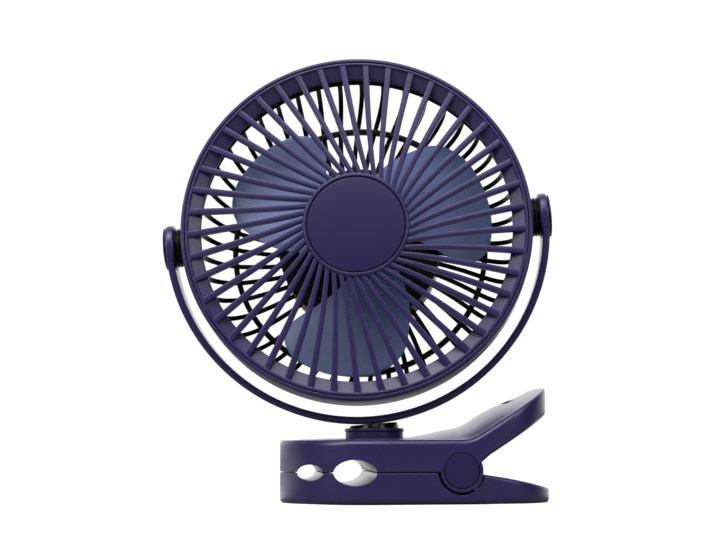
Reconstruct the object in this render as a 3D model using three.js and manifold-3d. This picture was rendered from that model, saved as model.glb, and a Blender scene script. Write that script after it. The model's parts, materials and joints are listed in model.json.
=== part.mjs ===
// A clip fan: a spring clip with two half-round notches, a ball neck, a half-ring
// yoke and a round fan head with a swirled front guard, a bowl-shaped rear guard and
// a three-lobe impeller. Sizes are in millimetres and degrees, +Z is up, +X runs
// along the clip to its lever, and the fan faces -Y. The origin is on the surface
// that the clip stands on, straight below the middle of the neck.
import * as THREE from 'three';
import { mergeVertices } from 'three/addons/utils/BufferGeometryUtils.js';
import Module from 'manifold-3d';

const wasm = await Module();
wasm.setup();

// ---------- driving sizes ----------

const seat_gap = 0.3;               // between two pieces that are seated on each other

// clip
const clip_half_width = 38;         // half the clip's depth, front to back
const nose_length = 42.7;           // from the neck axis to the rounded nose
const handle_reach = 77.7;          // from the neck axis to the lower handle's tip
const lever_reach = 75.3;           // from the neck axis to the lever's tip
const tip_round = 30;               // length over which a handle's tip is rounded in plan
const tip_power = 2.7;              // squareness of that rounding, 2 is an ellipse
const pad_proud = 0.4;              // how far the foot pad stands below the lower jaw
const split_height = 14;            // where the two jaws meet
const jaw_gap = 0.4;                // between the closed jaws
const jaw_top = 28;                 // the upper jaw's side edge
const jaw_crown = 1.2;              // how much higher its middle is
const jaw_edge = 2.4;               // rounding of the long edges
const handle_root_drop = 0.9;       // lower handle's top, below the split at its root
const handle_tip_height = 6;        // lower handle's height at its tip
const lever_slope = 32.5;           // lever's rise
const lever_thick = 9.6;            // square to the slope
const lever_start = 34.8;           // where the side edge starts to rise
const lever_blend = 8.6;             // length of the curve from level to sloping
const lever_crown = 6;              // crown of the lever's top
const lever_tip_crown = 2;          // crown at its tip
const body_end = 42.8;              // upright wall behind the hinge
const hang_slot_place = 61;         // slot near the lever's tip, along X
const hang_slot_wide = 5;           // along X
const hang_slot_long = 18;          // across

// notches for rails and rods, cut half in each jaw
const notches = [
  { middle: -30.6, width: 10.8, height: 7.6 },
  { middle: -11.7, width: 18.5, height: 12.2 },
];

// hinge of the clip
const hinge_along = 34.2;
const hinge_up = 14.7;
const knuckle_radius = 9.3;
const knuckle_recess = 10.4;        // round cut in the lower jaw
const knuckle_wide = 10;            // each upper knuckle, in from the side face
const lug_wide = 6;                 // each lower lug, inside the knuckles
const lug_radius = 6.4;
const pin_radius = 2;
const hinge_cap_radius = 7.6;
const hinge_cap_thick = 2;
const spring_wire = 0.9;            // wire radius
const spring_radius = 4.6;          // to the middle of the wire
const spring_turns = 5;
const spring_arm = 13;

// grip pads, sunk in the jaws between the big notch and the hinge
const grip_pad_start = 3;
const grip_pad_end = 17;
const grip_pad_half = 29;
const grip_pad_thick = 1.6;

// foot pad, sunk in the lower jaw's underside
const foot_pad_side = 8;            // in from the jaw's sides
const foot_pad_end = 10;            // in from its two ends
const foot_pad_thick = 1.4;

// neck
const cup_radius = 13;
const cup_flare = 0.5;              // how much wider the cup is at its foot
const cup_top = 33.3;
const cup_seat = 25.3;              // flat seat cut in the upper jaw
const ball_radius = 11.7;
const ball_up = 30.6;               // height of the ball's centre
const ball_floor = 1.4;             // the ball's flat underside, below its centre
const ball_floor_radius = 7;
const socket_deep = 3;              // socket's floor, below the ball's centre
const stem_radius = 4;              // cup's stem through the upper jaw
const washer_radius = 5.6;
const washer_thick = 1;
const jaw_skin_at_neck = 2;         // upper jaw's wall that the cup turns on
const neck_screw_head = 4.6;        // radius
const neck_screw_head_thick = 1.6;
const driver_hole = 2.2;

// rest pose of the neck and head
const swivel_rest = -6.6;            // about the upright neck axis
const lean_back = 0.5;
const lean_left = 4.6;
const tilt_rest = -6.2;             // head in the yoke, face down

// yoke
const yoke_thick = 3.2;
const yoke_gap = 4.8;               // between the yoke and the guard ring
const yoke_wide = 16;
const yoke_lift = 4.9;              // yoke's underside above the ball's centre
const yoke_pad_radius = 10.6;
const yoke_cap_radius = 9.7;
const yoke_cap_dome = 1.2;
const spacer_radius = 9;
const spacer_groove = 0.8;

// head, its axis along Y; depths count from the front rim towards the back
const guard_radius = 80;
const yoke_radius = guard_radius + yoke_gap + yoke_thick;
const rim_to_pivot = 14;
const ring_wall = 1.7;
const ring_depth = 18;
const ring_flange = 3;              // inward flange that the rear guard is screwed to
const lip_wide = 1.3;
const lip_step = 1.2;               // ledge lies this far behind the lip
const ledge_wide = 5.7;              // sunk ledge between the lip and the duct
const ledge_slope = 2.6;            // how much deeper the ledge is at its inner edge
const duct_wall = 1.4;
const duct_depth = 11;
const rib_count = 45;
const rib_wide_rim = 2.9;
const rib_wide_hub = 2.1;
const rib_deep = 2.8;
const swirl_front = 18;             // clockwise, rim to hub, seen from the front
const swirl_power = 1.5;
const hub_forward = 2;             // hub's face lies in front of the rim
const hub_radius = 24.2;
const hub_ring_wall = 1.6;
const hub_ring_depth = 6;
const hub_plate = 1.4;
const disc_dome = 0.7;

// rear guard
const bowl_depth = 52;
const bowl_ring_radius = 60.4;
const bowl_ring_wide = 2.6;
const swirl_rear = 6;               // anticlockwise, rim to hub
const rear_rib_wide = 1.8;
const rear_rib_deep = 2.6;
const tub_radius = 38.6;
const tub_front = 40;
const tub_back = 63;
const tub_wall = 2;

// drive
const tip_room = 17;                 // from the head's outside to the blade tips
const tip_radius = guard_radius - tip_room;
const blade_middle = 29;            // depth of the blades' mid line
const blade_pitch = 11.5;           // depth gained per radian of blade
const blade_thick = 1.7;
const blade_count = 3;
const blade_first = 22;             // middle of the first blade, from +X towards +Z
const rotor_radius = 17;
const rotor_front = 11;
const rotor_back = 35;
const rotor_wall = 1.8;
const motor_radius = 13.5;
const motor_long = 20;
const shaft_radius = 1.5;
const boss_radius = 4;
const nut_radius = 2.8;
const nut_thick = 1.8;

// what the tub holds
const cell_radius = 9;
const cell_long = 60;
const cell_apart = 19;
const board_thick = 1.2;
const board_half_wide = 25;
const board_half_high = 16;
const cover_thick = 2;
const cover_screw_circle = 33;
const button_radius = 7;
const button_travel = 1;
const button_proud = 1.4;
const port_wide = 9.2;
const port_high = 3.4;
const port_deep = 6;
const port_shell = 0.5;
const port_below = 24;              // the socket's middle, below the button's
const light_radius = 1.2;
const light_above = 14;

// ---------- materials ----------

const finish = (color, roughness, metalness = 0) =>
  new THREE.MeshStandardMaterial({ color, roughness, metalness });
const purple = finish(0x3b3068, 0.42);
const purple_disc = finish(0x3a2f66, 0.5);
const black = finish(0x0c0c0e, 0.3);
const dark_rubber = finish(0x1b1a20, 0.85);
const blade_blue = finish(0x586d97, 0.35);
const steel = finish(0xb9bcc0, 0.3, 1);
const spring_steel = finish(0x8f9297, 0.35, 1);
const cell_wrap = finish(0x2f6aa8, 0.45);
const board_green = finish(0x1f5c3a, 0.6);
const clear_light = finish(0xe8f0ff, 0.2);

// ---------- solids ----------

const rad = THREE.MathUtils.degToRad;

// A closed geometry as a manifold solid.
function solid(geometry) {
  const bare = geometry.clone();
  bare.deleteAttribute('normal');
  bare.deleteAttribute('uv');
  const welded = mergeVertices(bare, 1e-4);
  const index = welded.index.array;
  const kept = [];
  for (let i = 0; i < index.length; i += 3) {
    const [a, b, c] = [index[i], index[i + 1], index[i + 2]];
    if (a !== b && b !== c && c !== a) kept.push(a, b, c);
  }
  return new wasm.Manifold(new wasm.Mesh({
    numProp: 3,
    vertProperties: new Float32Array(welded.attributes.position.array),
    triVerts: new Uint32Array(kept),
  }));
}

const join = (first, ...rest) => rest.reduce((sum, next) => sum.add(next), first);
const cut = (first, ...rest) => rest.reduce((left, next) => left.subtract(next), first);

function geometryOf(body) {
  const { vertProperties, triVerts, numProp } = body.getMesh();
  const geometry = new THREE.BufferGeometry();
  const position = new Float32Array(vertProperties.length / numProp * 3);
  for (let i = 0; i < position.length / 3; i++) {
    for (let k = 0; k < 3; k++) position[3 * i + k] = vertProperties[numProp * i + k];
  }
  geometry.setAttribute('position', new THREE.BufferAttribute(position, 3));
  geometry.setIndex(new THREE.BufferAttribute(new Uint32Array(triVerts), 1));
  geometry.computeVertexNormals();
  return geometry;
}

function piece(name, body, material, parent) {
  const mesh = new THREE.Mesh(geometryOf(body), material);
  mesh.name = name;
  parent.add(mesh);
  return mesh;
}

// A profile of [radius, height] points turned about Y, then moved along Y.
function turned(profile, segments = 48) {
  const points = profile.map(([r, y]) => new THREE.Vector2(r, y));
  const closed = profile[0][0] > 0 || profile.at(-1)[0] > 0;
  if (closed) points.push(points[0].clone());
  return solid(outward(new THREE.LatheGeometry(points, segments)));
}

// Turns a geometry's faces round if they point inwards.
function outward(geometry) {
  const whole = geometry.index ? geometry.toNonIndexed() : geometry;
  const p = whole.attributes.position;
  const [a, b, c] = [new THREE.Vector3(), new THREE.Vector3(), new THREE.Vector3()];
  let volume = 0;
  for (let i = 0; i < p.count; i += 3) {
    a.fromBufferAttribute(p, i);
    b.fromBufferAttribute(p, i + 1);
    c.fromBufferAttribute(p, i + 2);
    volume += a.dot(b.cross(c));
  }
  if (volume < 0) {
    const array = p.array;
    for (let i = 0; i < array.length; i += 9) {
      for (let k = 0; k < 3; k++) {
        [array[i + 3 + k], array[i + 6 + k]] = [array[i + 6 + k], array[i + 3 + k]];
      }
    }
  }
  return whole;
}

const place = (body, x, y, z) => body.translate([x, y, z]);
const upright = (body) => body.rotate([90, 0, 0]);         // a body turned about Y stands up along Z
const sideways = (body) => body.rotate([0, 0, -90]);       // a body turned about Y lies on X
const sided = (body, side) => (side > 0 ? body : body.rotate([0, 0, 180]));

// A round bar about Y, from one height to another.
function bar(radius, low, high, segments = 32) {
  return turned([[0, low], [radius, low], [radius, high], [0, high]], segments);
}

// A bar with both rims rounded or chamfered by one edge size.
function softBar(radius, low, high, edge, segments = 36) {
  return turned([
    [0, low], [radius - edge, low], [radius, low + edge],
    [radius, high - edge], [radius - edge, high], [0, high],
  ], segments);
}

// A ring about Y.
function ring(inner, outer, low, high, segments = 48) {
  return turned([[inner, low], [outer, low], [outer, high], [inner, high]], segments);
}

function block(x0, x1, y0, y1, z0, z1) {
  const geometry = new THREE.BoxGeometry(x1 - x0, y1 - y0, z1 - z0);
  geometry.translate((x0 + x1) / 2, (y0 + y1) / 2, (z0 + z1) / 2);
  return solid(geometry);
}

// A shape drawn in X and Z, run through the object along Y.
function acrossPrism(shape, y0, y1, curveSegments = 12) {
  const geometry = new THREE.ExtrudeGeometry(shape, {
    depth: y1 - y0, bevelEnabled: false, curveSegments,
  });
  geometry.rotateX(Math.PI / 2);
  geometry.translate(0, y1, 0);
  return solid(outward(geometry));
}

// A shape drawn in X and Y, run straight up.
function planPrism(shape, low, high, curveSegments) {
  const geometry = new THREE.ExtrudeGeometry(shape, {
    depth: high - low, bevelEnabled: false, curveSegments,
  });
  geometry.translate(0, 0, low);
  return solid(outward(geometry));
}

// Joins rings of points into one closed skin; each ring has as many points as the next.
// The ends are closed from their middles, or in strips where they are thin and bent.
function skin(rings, bent_ends = false) {
  const n = rings[0].length;
  const triangles = [];
  const tri = (a, b, c) => triangles.push(...a, ...b, ...c);
  for (let i = 0; i + 1 < rings.length; i++) {
    for (let k = 0; k < n; k++) {
      const m = (k + 1) % n;
      tri(rings[i][k], rings[i + 1][k], rings[i + 1][m]);
      tri(rings[i][k], rings[i + 1][m], rings[i][m]);
    }
  }
  for (const [end, flip] of [[rings[0], false], [rings.at(-1), true]]) {
    const face = (a, b, c) => (flip ? tri(b, a, c) : tri(a, b, c));
    if (!bent_ends) {
      const middle = [0, 1, 2].map((i) => end.reduce((sum, p) => sum + p[i], 0) / n);
      for (let k = 0; k < n; k++) face(end[k], end[(k + 1) % n], middle);
      continue;
    }
    let [low, high] = [0, n - 1];
    while (high - low > 1) {
      face(end[low], end[low + 1], end[high]);
      low += 1;
      if (high - low > 1) {
        face(end[low], end[high - 1], end[high]);
        high -= 1;
      }
    }
  }
  const geometry = new THREE.BufferGeometry();
  geometry.setAttribute('position', new THREE.Float32BufferAttribute(triangles, 3));
  return solid(outward(geometry));
}

const smooth = (t) => {
  const s = Math.min(1, Math.max(0, t));
  return s * s * (3 - 2 * s);
};
const mix = (a, b, t) => a + (b - a) * t;

// ---------- clip ----------

// Stations along X with the half width there: an elliptic nose, straight sides and a
// squarer rounded tip. Extra stations can be asked for where an edge needs one.
function stations(reach, extra) {
  const list = [];
  const nose_steps = 7;
  for (let i = 0; i < nose_steps; i++) {
    const a = Math.PI / 2 * (i + 0.28) / nose_steps;
    list.push([-nose_length * Math.cos(a), clip_half_width * Math.sin(a)]);
  }
  const tip_start = reach - tip_round;
  const widthAt = (x) => {
    if (x < tip_start) return clip_half_width;
    const t = (x - tip_start) / tip_round;
    return clip_half_width * Math.pow(Math.max(0, 1 - Math.pow(t, tip_power)), 1 / tip_power);
  };
  for (const x of extra) {
    if (x < reach) list.push([x, widthAt(x)]);
  }
  const tip_steps = 6;
  for (let i = 0; i <= tip_steps; i++) {
    const a = Math.PI / 2 * Math.min(1, i / (tip_steps + 0.35));
    const x = tip_start + tip_round * Math.pow(Math.sin(a), 2 / tip_power);
    list.push([x, widthAt(x)]);
  }
  list[0][0] = -nose_length;
  list.at(-1)[0] = reach;
  return list.sort((p, q) => p[0] - q[0])
    .filter((p, i, all) => i === 0 || p[0] - all[i - 1][0] > 0.02);
}

// One cross-section of a jaw: flat below, crowned above, with rounded long edges.
function jawSection(x, half, low, high, crown, topEdge, lowEdge) {
  const points = [];
  const arc_steps = 2;
  const te = Math.min(topEdge, half * 0.8, (high - low) * 0.45);
  const le = Math.min(lowEdge, half * 0.8, (high - low) * 0.45);
  const corner = (cy, cz, edge, from) => {
    for (let i = 0; i <= arc_steps; i++) {
      const a = from + Math.PI / 2 * i / arc_steps;
      points.push([x, cy + edge * Math.cos(a), cz + edge * Math.sin(a)]);
    }
  };
  corner(half - le, low + le, le, -Math.PI / 2);
  corner(half - te, high - te, te, 0);
  const crown_steps = crown > 0 ? 6 : 2;
  for (let i = 1; i < crown_steps; i++) {
    const y = (half - te) * (1 - 2 * i / crown_steps);
    const across = y / clip_half_width;
    const edge_across = (half - te) / clip_half_width;
    points.push([x, y, high + crown * (edge_across * edge_across - across * across)]);
  }
  corner(-half + te, high - te, te, Math.PI / 2);
  corner(-half + le, low + le, le, Math.PI);
  return points;
}

const lever_rise = Math.tan(rad(lever_slope));
// Height of the upper jaw's side edge.
function leverEdge(x) {
  const t = x - lever_start;
  if (t <= 0) return jaw_top;
  if (t < lever_blend) return jaw_top + lever_rise * t * t / (2 * lever_blend);
  return jaw_top + lever_rise * (t - lever_blend / 2);
}
// Extra height of its middle line.
function leverCrown(x) {
  const grown = mix(jaw_crown, lever_crown, smooth((x - 12) / 28));
  return mix(grown, lever_tip_crown, smooth((x - 48) / (lever_reach - 48)));
}
const leverUnder = (x) => leverEdge(x) - lever_thick / Math.cos(rad(lever_slope));
const jaw_low = split_height + jaw_gap / 2;
const jaw_high = split_height - jaw_gap / 2;

// The lens-shaped notch between the jaws.
function notchShape({ middle, width, height }) {
  const half = width / 2;
  const rise = height / 2;
  const radius = (half * half + rise * rise) / (2 * rise);
  const a = Math.asin(half / radius);
  const shape = new THREE.Shape();
  shape.absarc(middle, split_height - radius + rise, radius,
    Math.PI / 2 - a, Math.PI / 2 + a, false);
  shape.absarc(middle, split_height + radius - rise, radius,
    -Math.PI / 2 - a, -Math.PI / 2 + a, false);
  return shape;
}

const through = clip_half_width + 2;
const notchCut = () => notches.map((n) => acrossPrism(notchShape(n), -through, through, 7));
const hingeBar = (radius, y0, y1, n = 40) =>
  place(bar(radius, y0, y1, n), hinge_along, 0, hinge_up);
// A round bar about the hinge with straight sides down to a level: a lug, or room for one.
function hingeArch(radius, floor, y0, y1, segments) {
  const shape = new THREE.Shape();
  shape.moveTo(hinge_along - radius, floor);
  shape.lineTo(hinge_along + radius, floor);
  shape.absarc(hinge_along, hinge_up, radius, 0, Math.PI, false);
  return acrossPrism(shape, y0, y1, segments);
}
const knuckle_in = clip_half_width - knuckle_wide;
const spring_reach = spring_turns * 2 * (spring_wire + 0.25);
const spring_slot_half = spring_reach / 2 + spring_wire + seat_gap;
const lug_foot = 3;                 // how low the lugs are rooted in the lower jaw
const lug_room_radius = lug_radius + 3.2;
const lug_out = knuckle_in - seat_gap;
const lug_in = lug_out - lug_wide;

function gripPad(low, high, shrink) {
  return block(grip_pad_start + shrink, grip_pad_end - shrink,
    -grip_pad_half + shrink, grip_pad_half - shrink, low, high);
}

// Body of the foot pad under the lower jaw, in plan.
function footPadShape(shrink) {
  const round = clip_half_width - foot_pad_side;
  const x0 = -nose_length + foot_pad_end + round;
  const x1 = handle_reach - foot_pad_end - round;
  const shape = new THREE.Shape();
  shape.absarc(x0, 0, round - shrink, Math.PI / 2, 3 * Math.PI / 2, false);
  shape.absarc(x1, 0, round - shrink, -Math.PI / 2, Math.PI / 2, false);
  return shape;
}
const footPad = (low, high, shrink) => planPrism(footPadShape(shrink), low, high, 14);

function lowerJaw() {
  const handle_root = body_end + 1;
  const root_height = split_height - handle_root_drop;
  const topAt = (x) => {
    if (x <= handle_root) return jaw_high;
    const t = (x - handle_root) / (handle_reach - handle_root);
    return mix(root_height, handle_tip_height, t) + 1.2 * Math.sin(Math.PI * t) * 0.5;
  };
  const extra = [10, hinge_along - knuckle_recess - 1, hinge_along,
    handle_root, handle_root + 0.1, body_end + 8, body_end + 14, body_end + 19];
  const rings = stations(handle_reach, extra)
    .map(([x, half]) => jawSection(x, half, pad_proud, topAt(x), 0, x > handle_root ? 1.6 : 0.35, 2.6));
  let jaw = skin(rings);
  jaw = cut(jaw, ...notchCut(), hingeBar(knuckle_recess, -through, through, 32));
  for (const side of [1, -1]) {
    const [a, b] = [side * lug_in, side * lug_out].sort((p, q) => p - q);
    jaw = jaw.add(hingeArch(lug_radius, lug_foot, a, b, 14));
  }
  const spring_arm_slot = block(hinge_along - spring_arm - 4, hinge_along,
    -spring_slot_half, spring_slot_half,
    hinge_up - spring_radius - spring_wire - seat_gap, split_height + 1);
  return cut(jaw,
    hingeBar(pin_radius + seat_gap, -through, through, 24),
    spring_arm_slot,
    gripPad(split_height - grip_pad_thick, split_height + 2, 0),
    footPad(-1, foot_pad_thick + seat_gap / 2, 0));
}

function upperJaw() {
  const extra = [0, 12, 20, 26, 31, lever_start, lever_start + 3, lever_start + 6,
    body_end - 0.05, body_end + 0.05, body_end + 1.6, body_end + 3.7, body_end + 10, body_end + 16];
  const fillet = 4.4;
  const lowAt = (x) => {
    if (x < body_end) return jaw_low;
    const t = (x - body_end) / fillet;
    const line = leverUnder(x);
    if (t >= 1) return line;
    const at_root = leverUnder(body_end + fillet) - fillet * 0.9;
    return mix(at_root, line, Math.sqrt(Math.max(0, 1 - (1 - t) * (1 - t))));
  };
  const rings = stations(lever_reach, extra).map(([x, half]) =>
    jawSection(x, half, lowAt(x), leverEdge(x), leverCrown(x), jaw_edge, x > body_end ? 1.6 : 0.35));
  let jaw = skin(rings);
  const knuckle_end = clip_half_width - 0.1;
  jaw = jaw.add(hingeBar(knuckle_radius, -knuckle_end, knuckle_end, 30));
  // Middle of the hinge: room for the lower jaw's lugs and the spring.
  const lug_room = hingeArch(lug_room_radius, 0, -knuckle_in, knuckle_in, 10);
  const arm_slot = block(hinge_along - spring_arm - 4, hinge_along - 0.5,
    -spring_slot_half, spring_slot_half, split_height - 1,
    hinge_up + spring_radius + spring_wire + seat_gap);
  jaw = cut(jaw, ...notchCut(), lug_room, arm_slot,
    hingeBar(pin_radius + seat_gap, -through, through, 24));
  for (const side of [1, -1]) {
    const outer = side * clip_half_width;
    const inner = side * (clip_half_width - hinge_cap_thick - seat_gap);
    const [a, b] = [inner, outer + side].sort((p, q) => p - q);
    jaw = cut(jaw, hingeBar(hinge_cap_radius + seat_gap, a, b, 28));
  }
  // Seat, stem hole, washer pocket and driver hole of the neck.
  const pocket_top = cup_seat - jaw_skin_at_neck;
  const pocket_low = pocket_top - washer_thick - neck_screw_head_thick - 4 * seat_gap;
  jaw = cut(jaw,
    upright(bar(cup_radius + cup_flare + 0.4, cup_seat, 60, 24)),
    upright(bar(stem_radius + seat_gap, pocket_top - 1, 60, 20)),
    upright(bar(washer_radius + seat_gap, pocket_low, pocket_top, 24)),
    upright(bar(driver_hole, 0, pocket_top, 12)));
  // Hanging slot near the lever's tip.
  const slot_end = hang_slot_wide / 2;
  const slot_half = hang_slot_long / 2 - slot_end;
  const slot_shape = new THREE.Shape();
  slot_shape.absarc(hang_slot_place, slot_half, slot_end, 0, Math.PI, false);
  slot_shape.absarc(hang_slot_place, -slot_half, slot_end, Math.PI, 2 * Math.PI, false);
  const slot = planPrism(slot_shape, 20, 70, 6);
  return cut(jaw, slot, gripPad(split_height - 2, split_height + grip_pad_thick, 0));
}

// A torsion spring: coils round the pin, one arm in each jaw.
function clipSpring() {
  const steps = 8;
  const reach = spring_reach;
  const points = [];
  const start = rad(180 + 38);
  const total = spring_turns * 2 * Math.PI + rad(-76);
  const at = (angle, y) => new THREE.Vector3(
    hinge_along + spring_radius * Math.cos(angle), y, hinge_up + spring_radius * Math.sin(angle));
  const count = Math.round(spring_turns * steps);
  const first = at(start, -reach / 2);
  const lower_dir = new THREE.Vector3(Math.sin(start), 0, -Math.cos(start));
  points.push(first.clone().addScaledVector(lower_dir, spring_arm * 0.62));
  for (let i = 0; i <= count; i++) {
    points.push(at(start + total * i / count, -reach / 2 + reach * i / count));
  }
  const end_angle = start + total;
  const upper_dir = new THREE.Vector3(-Math.sin(end_angle), 0, Math.cos(end_angle));
  points.push(points.at(-1).clone().addScaledVector(upper_dir, spring_arm * 0.62));
  const path = new THREE.CatmullRomCurve3(points, false, 'centripetal');
  const section = new THREE.Shape();
  section.absarc(0, 0, spring_wire, 0, 2 * Math.PI, false);
  const geometry = new THREE.ExtrudeGeometry(section, {
    steps: count + 8, extrudePath: path, curveSegments: 3, bevelEnabled: false,
  });
  return solid(outward(geometry));
}

// ---------- head: ribs and guards ----------

// Sections of a rib as [across, inward] shares of its width and depth.
const square_rib = [[-0.5, -0.5], [0.5, -0.5], [0.5, 0.5], [-0.5, 0.5]];
const keel_rib = [[-0.5, -0.5], [0.5, -0.5], [0, 0.5]];

// A rib along a path of [radius, depth, angle, width] points.
function rib(path, deep, section) {
  const points = path.map(([r, d, a]) =>
    new THREE.Vector3(r * Math.cos(a), d, r * Math.sin(a)));
  const rings = points.map((p, i) => {
    const ahead = points[Math.min(i + 1, points.length - 1)];
    const behind = points[Math.max(i - 1, 0)];
    const run = ahead.clone().sub(behind).normalize();
    const round = new THREE.Vector3(-p.z, 0, p.x).normalize();
    const side = round.addScaledVector(run, -round.dot(run)).normalize();
    const inward = new THREE.Vector3().crossVectors(run, side).normalize();
    const wide = path[i][3];
    return section.map(([s, t]) => {
      const q = p.clone().addScaledVector(side, s * wide).addScaledVector(inward, t * deep);
      return [q.x, q.y, q.z];
    });
  });
  return skin(rings);
}

// How far a front rib has turned at a radius: nothing at the rim, all of it at the hub.
function swirlAt(radius, inner, outer, total) {
  const f = (r) => Math.pow(inner / r, swirl_power);
  return rad(total) * (f(radius) - f(outer)) / (1 - f(outer));
}

const lip_outer = guard_radius - ring_wall - seat_gap;
const lip_inner = lip_outer - lip_wide;
const ledge_inner = lip_inner - ledge_wide;
const ledge_front = lip_step;
const ledge_back = lip_step + ledge_slope;

function frontGuard() {
  const rim = turned([
    [lip_inner, 0], [lip_outer - 0.3, 0], [lip_outer, 0.35],
    [lip_outer, 6], [lip_outer - 1.4, 6], [ledge_inner + duct_wall, ledge_back + 2],
    [ledge_inner + duct_wall, duct_depth],
    [ledge_inner, duct_depth], [ledge_inner, ledge_back], [lip_inner, ledge_front],
  ], rib_count);
  const hub_face = -hub_forward;
  const hub = turned([
    [0, hub_face + disc_dome + 2.2], [hub_radius - hub_ring_wall, hub_face + disc_dome + 2.2],
    [hub_radius - hub_ring_wall, hub_face],
    [hub_radius - 0.5, hub_face], [hub_radius, hub_face + 0.5],
    [hub_radius, hub_face + hub_ring_depth], [hub_radius - hub_ring_wall, hub_face + hub_ring_depth],
    [hub_radius - hub_ring_wall, hub_face + disc_dome + 2.2 + hub_plate],
    [0, hub_face + disc_dome + 2.2 + hub_plate],
  ], 36);
  const rib_start = lip_inner + 0.5;
  const rib_end = hub_radius - 0.8;
  const steps = 5;
  const path = (turn) => {
    const list = [];
    for (let i = 0; i <= steps; i++) {
      const t = Math.pow(i / steps, 0.8);
      const r = mix(rib_start, rib_end, t);
      const rise = 1 - Math.pow((r - rib_end) / (rib_start - rib_end), 1.7);
      const d = rib_deep / 2 + 0.25 - (hub_forward - 0.5) * rise;
      const wide = mix(rib_wide_hub, rib_wide_rim, (r - rib_end) / (rib_start - rib_end));
      list.push([r, d, turn - swirlAt(r, rib_end, rib_start, swirl_front), wide]);
    }
    return list;
  };
  let guard = rim.add(hub);
  for (let k = 0; k < rib_count; k++) {
    guard = guard.add(rib(path(2 * Math.PI * k / rib_count), rib_deep, square_rib));
  }
  return guard;
}

// Outline of the bowl that the rear ribs follow.
function bowlPath() {
  const start_radius = guard_radius - ring_wall - 2.2;
  const start_depth = ring_depth + 1.3 + seat_gap;
  const list = [];
  const bend_steps = 3;
  for (let i = 0; i <= bend_steps; i++) {
    const a = Math.PI / 2 * i / bend_steps * 0.82;
    list.push([
      mix(bowl_ring_radius - 8, start_radius, Math.cos(a)),
      mix(start_depth, bowl_depth - 1, Math.sin(a)),
    ]);
  }
  list.push([tub_radius - tub_wall * 0.5, bowl_depth]);
  return list;
}

function rearGuard() {
  const outer = guard_radius - ring_wall - seat_gap;
  const flange = ring(outer - 6.2, outer - 0.2, ring_depth + seat_gap, ring_depth + seat_gap + 2, 45);
  const bowl_ring = ring(bowl_ring_radius - bowl_ring_wide / 2,
    bowl_ring_radius + bowl_ring_wide / 2, bowl_depth - 4, bowl_depth - 1.2, 45);
  const tub = turned([
    [shaft_radius + 1.6, tub_front], [tub_radius, tub_front], [tub_radius, tub_back], [tub_radius - tub_wall, tub_back],
    [tub_radius - tub_wall, tub_front + tub_wall], [shaft_radius + 1.6, tub_front + tub_wall],
  ], 36);
  let guard = join(flange, bowl_ring, tub);
  const profile = bowlPath();
  const [start, end] = [profile[0][0], profile.at(-1)[0]];
  for (let k = 0; k < rib_count; k++) {
    const turn = 2 * Math.PI * (k + 0.5) / rib_count;
    const path = profile.map(([r, d]) =>
      [r, d, turn + rad(swirl_rear) * (start - r) / (start - end), rear_rib_wide]);
    guard = guard.add(rib(path, rear_rib_deep, keel_rib));
  }
  return guard;
}

// ---------- impeller ----------

// Blade edges as [share of the way from root to tip, degrees from the blade's middle].
const leading_edge = [[0, -12], [0.15, -19], [0.3, -26.5], [0.45, -32], [0.6, -36],
  [0.73, -37], [0.85, -34.5], [0.94, -28.5], [0.98, -20], [1, -9]];
const trailing_edge = [[0, 62], [0.15, 54], [0.3, 47], [0.45, 41.5], [0.585, 36],
  [0.71, 31], [0.82, 27], [0.91, 21.5], [0.965, 15.5], [1, 7]];
const blade_root = rotor_radius - 1;

function blade(turn) {
  const columns = 6;
  const rows = leading_edge.length;
  const surface = (offset) => {
    const grid = [];
    for (let i = 0; i < rows; i++) {
      const line = [];
      for (let k = 0; k <= columns; k++) {
        const t = k / columns;
        const r = mix(blade_root, tip_radius, mix(leading_edge[i][0], trailing_edge[i][0], t));
        const a = rad(mix(leading_edge[i][1], trailing_edge[i][1], t));
        const edge_thin = k === 0 || k === columns || i === rows - 1 ? 0.35 : 1;
        const d = blade_middle - blade_pitch * a + offset * edge_thin;
        line.push([r * Math.cos(a + turn), d, r * Math.sin(a + turn)]);
      }
      grid.push(line);
    }
    return grid;
  };
  const front = surface(-blade_thick / 2);
  const back = surface(blade_thick / 2);
  const rings = front.map((line, i) => [...line, ...[...back[i]].reverse()]);
  return skin(rings, true);
}

function impeller() {
  const dome = 3;
  const rotor = turned([
    [shaft_radius + seat_gap, rotor_front + 1.2], [nut_radius + 1, rotor_front + 1.2],
    [nut_radius + 1, rotor_front], [rotor_radius - dome, rotor_front],
    [rotor_radius - 0.8, rotor_front + 0.9], [rotor_radius, rotor_front + dome],
    [rotor_radius, rotor_back], [rotor_radius - rotor_wall, rotor_back],
    [rotor_radius - rotor_wall, rotor_front + rotor_wall + 1.4],
    [boss_radius, rotor_front + rotor_wall + 1.4], [boss_radius, rotor_front + 5],
    [shaft_radius + seat_gap, rotor_front + 5],
  ], 24);
  let wheel = rotor;
  for (let k = 0; k < blade_count; k++) {
    wheel = wheel.add(blade(rad(blade_first + 360 * k / blade_count)));
  }
  return wheel;
}

// ---------- assembly ----------

const fan = new THREE.Group();

// clip
piece('lower_jaw', lowerJaw(), purple, fan);
piece('foot_pad', footPad(0, foot_pad_thick, seat_gap), dark_rubber, fan);
piece('lower_grip_pad', gripPad(split_height - grip_pad_thick + seat_gap / 2,
  split_height - jaw_gap / 2, seat_gap), dark_rubber, fan);

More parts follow.
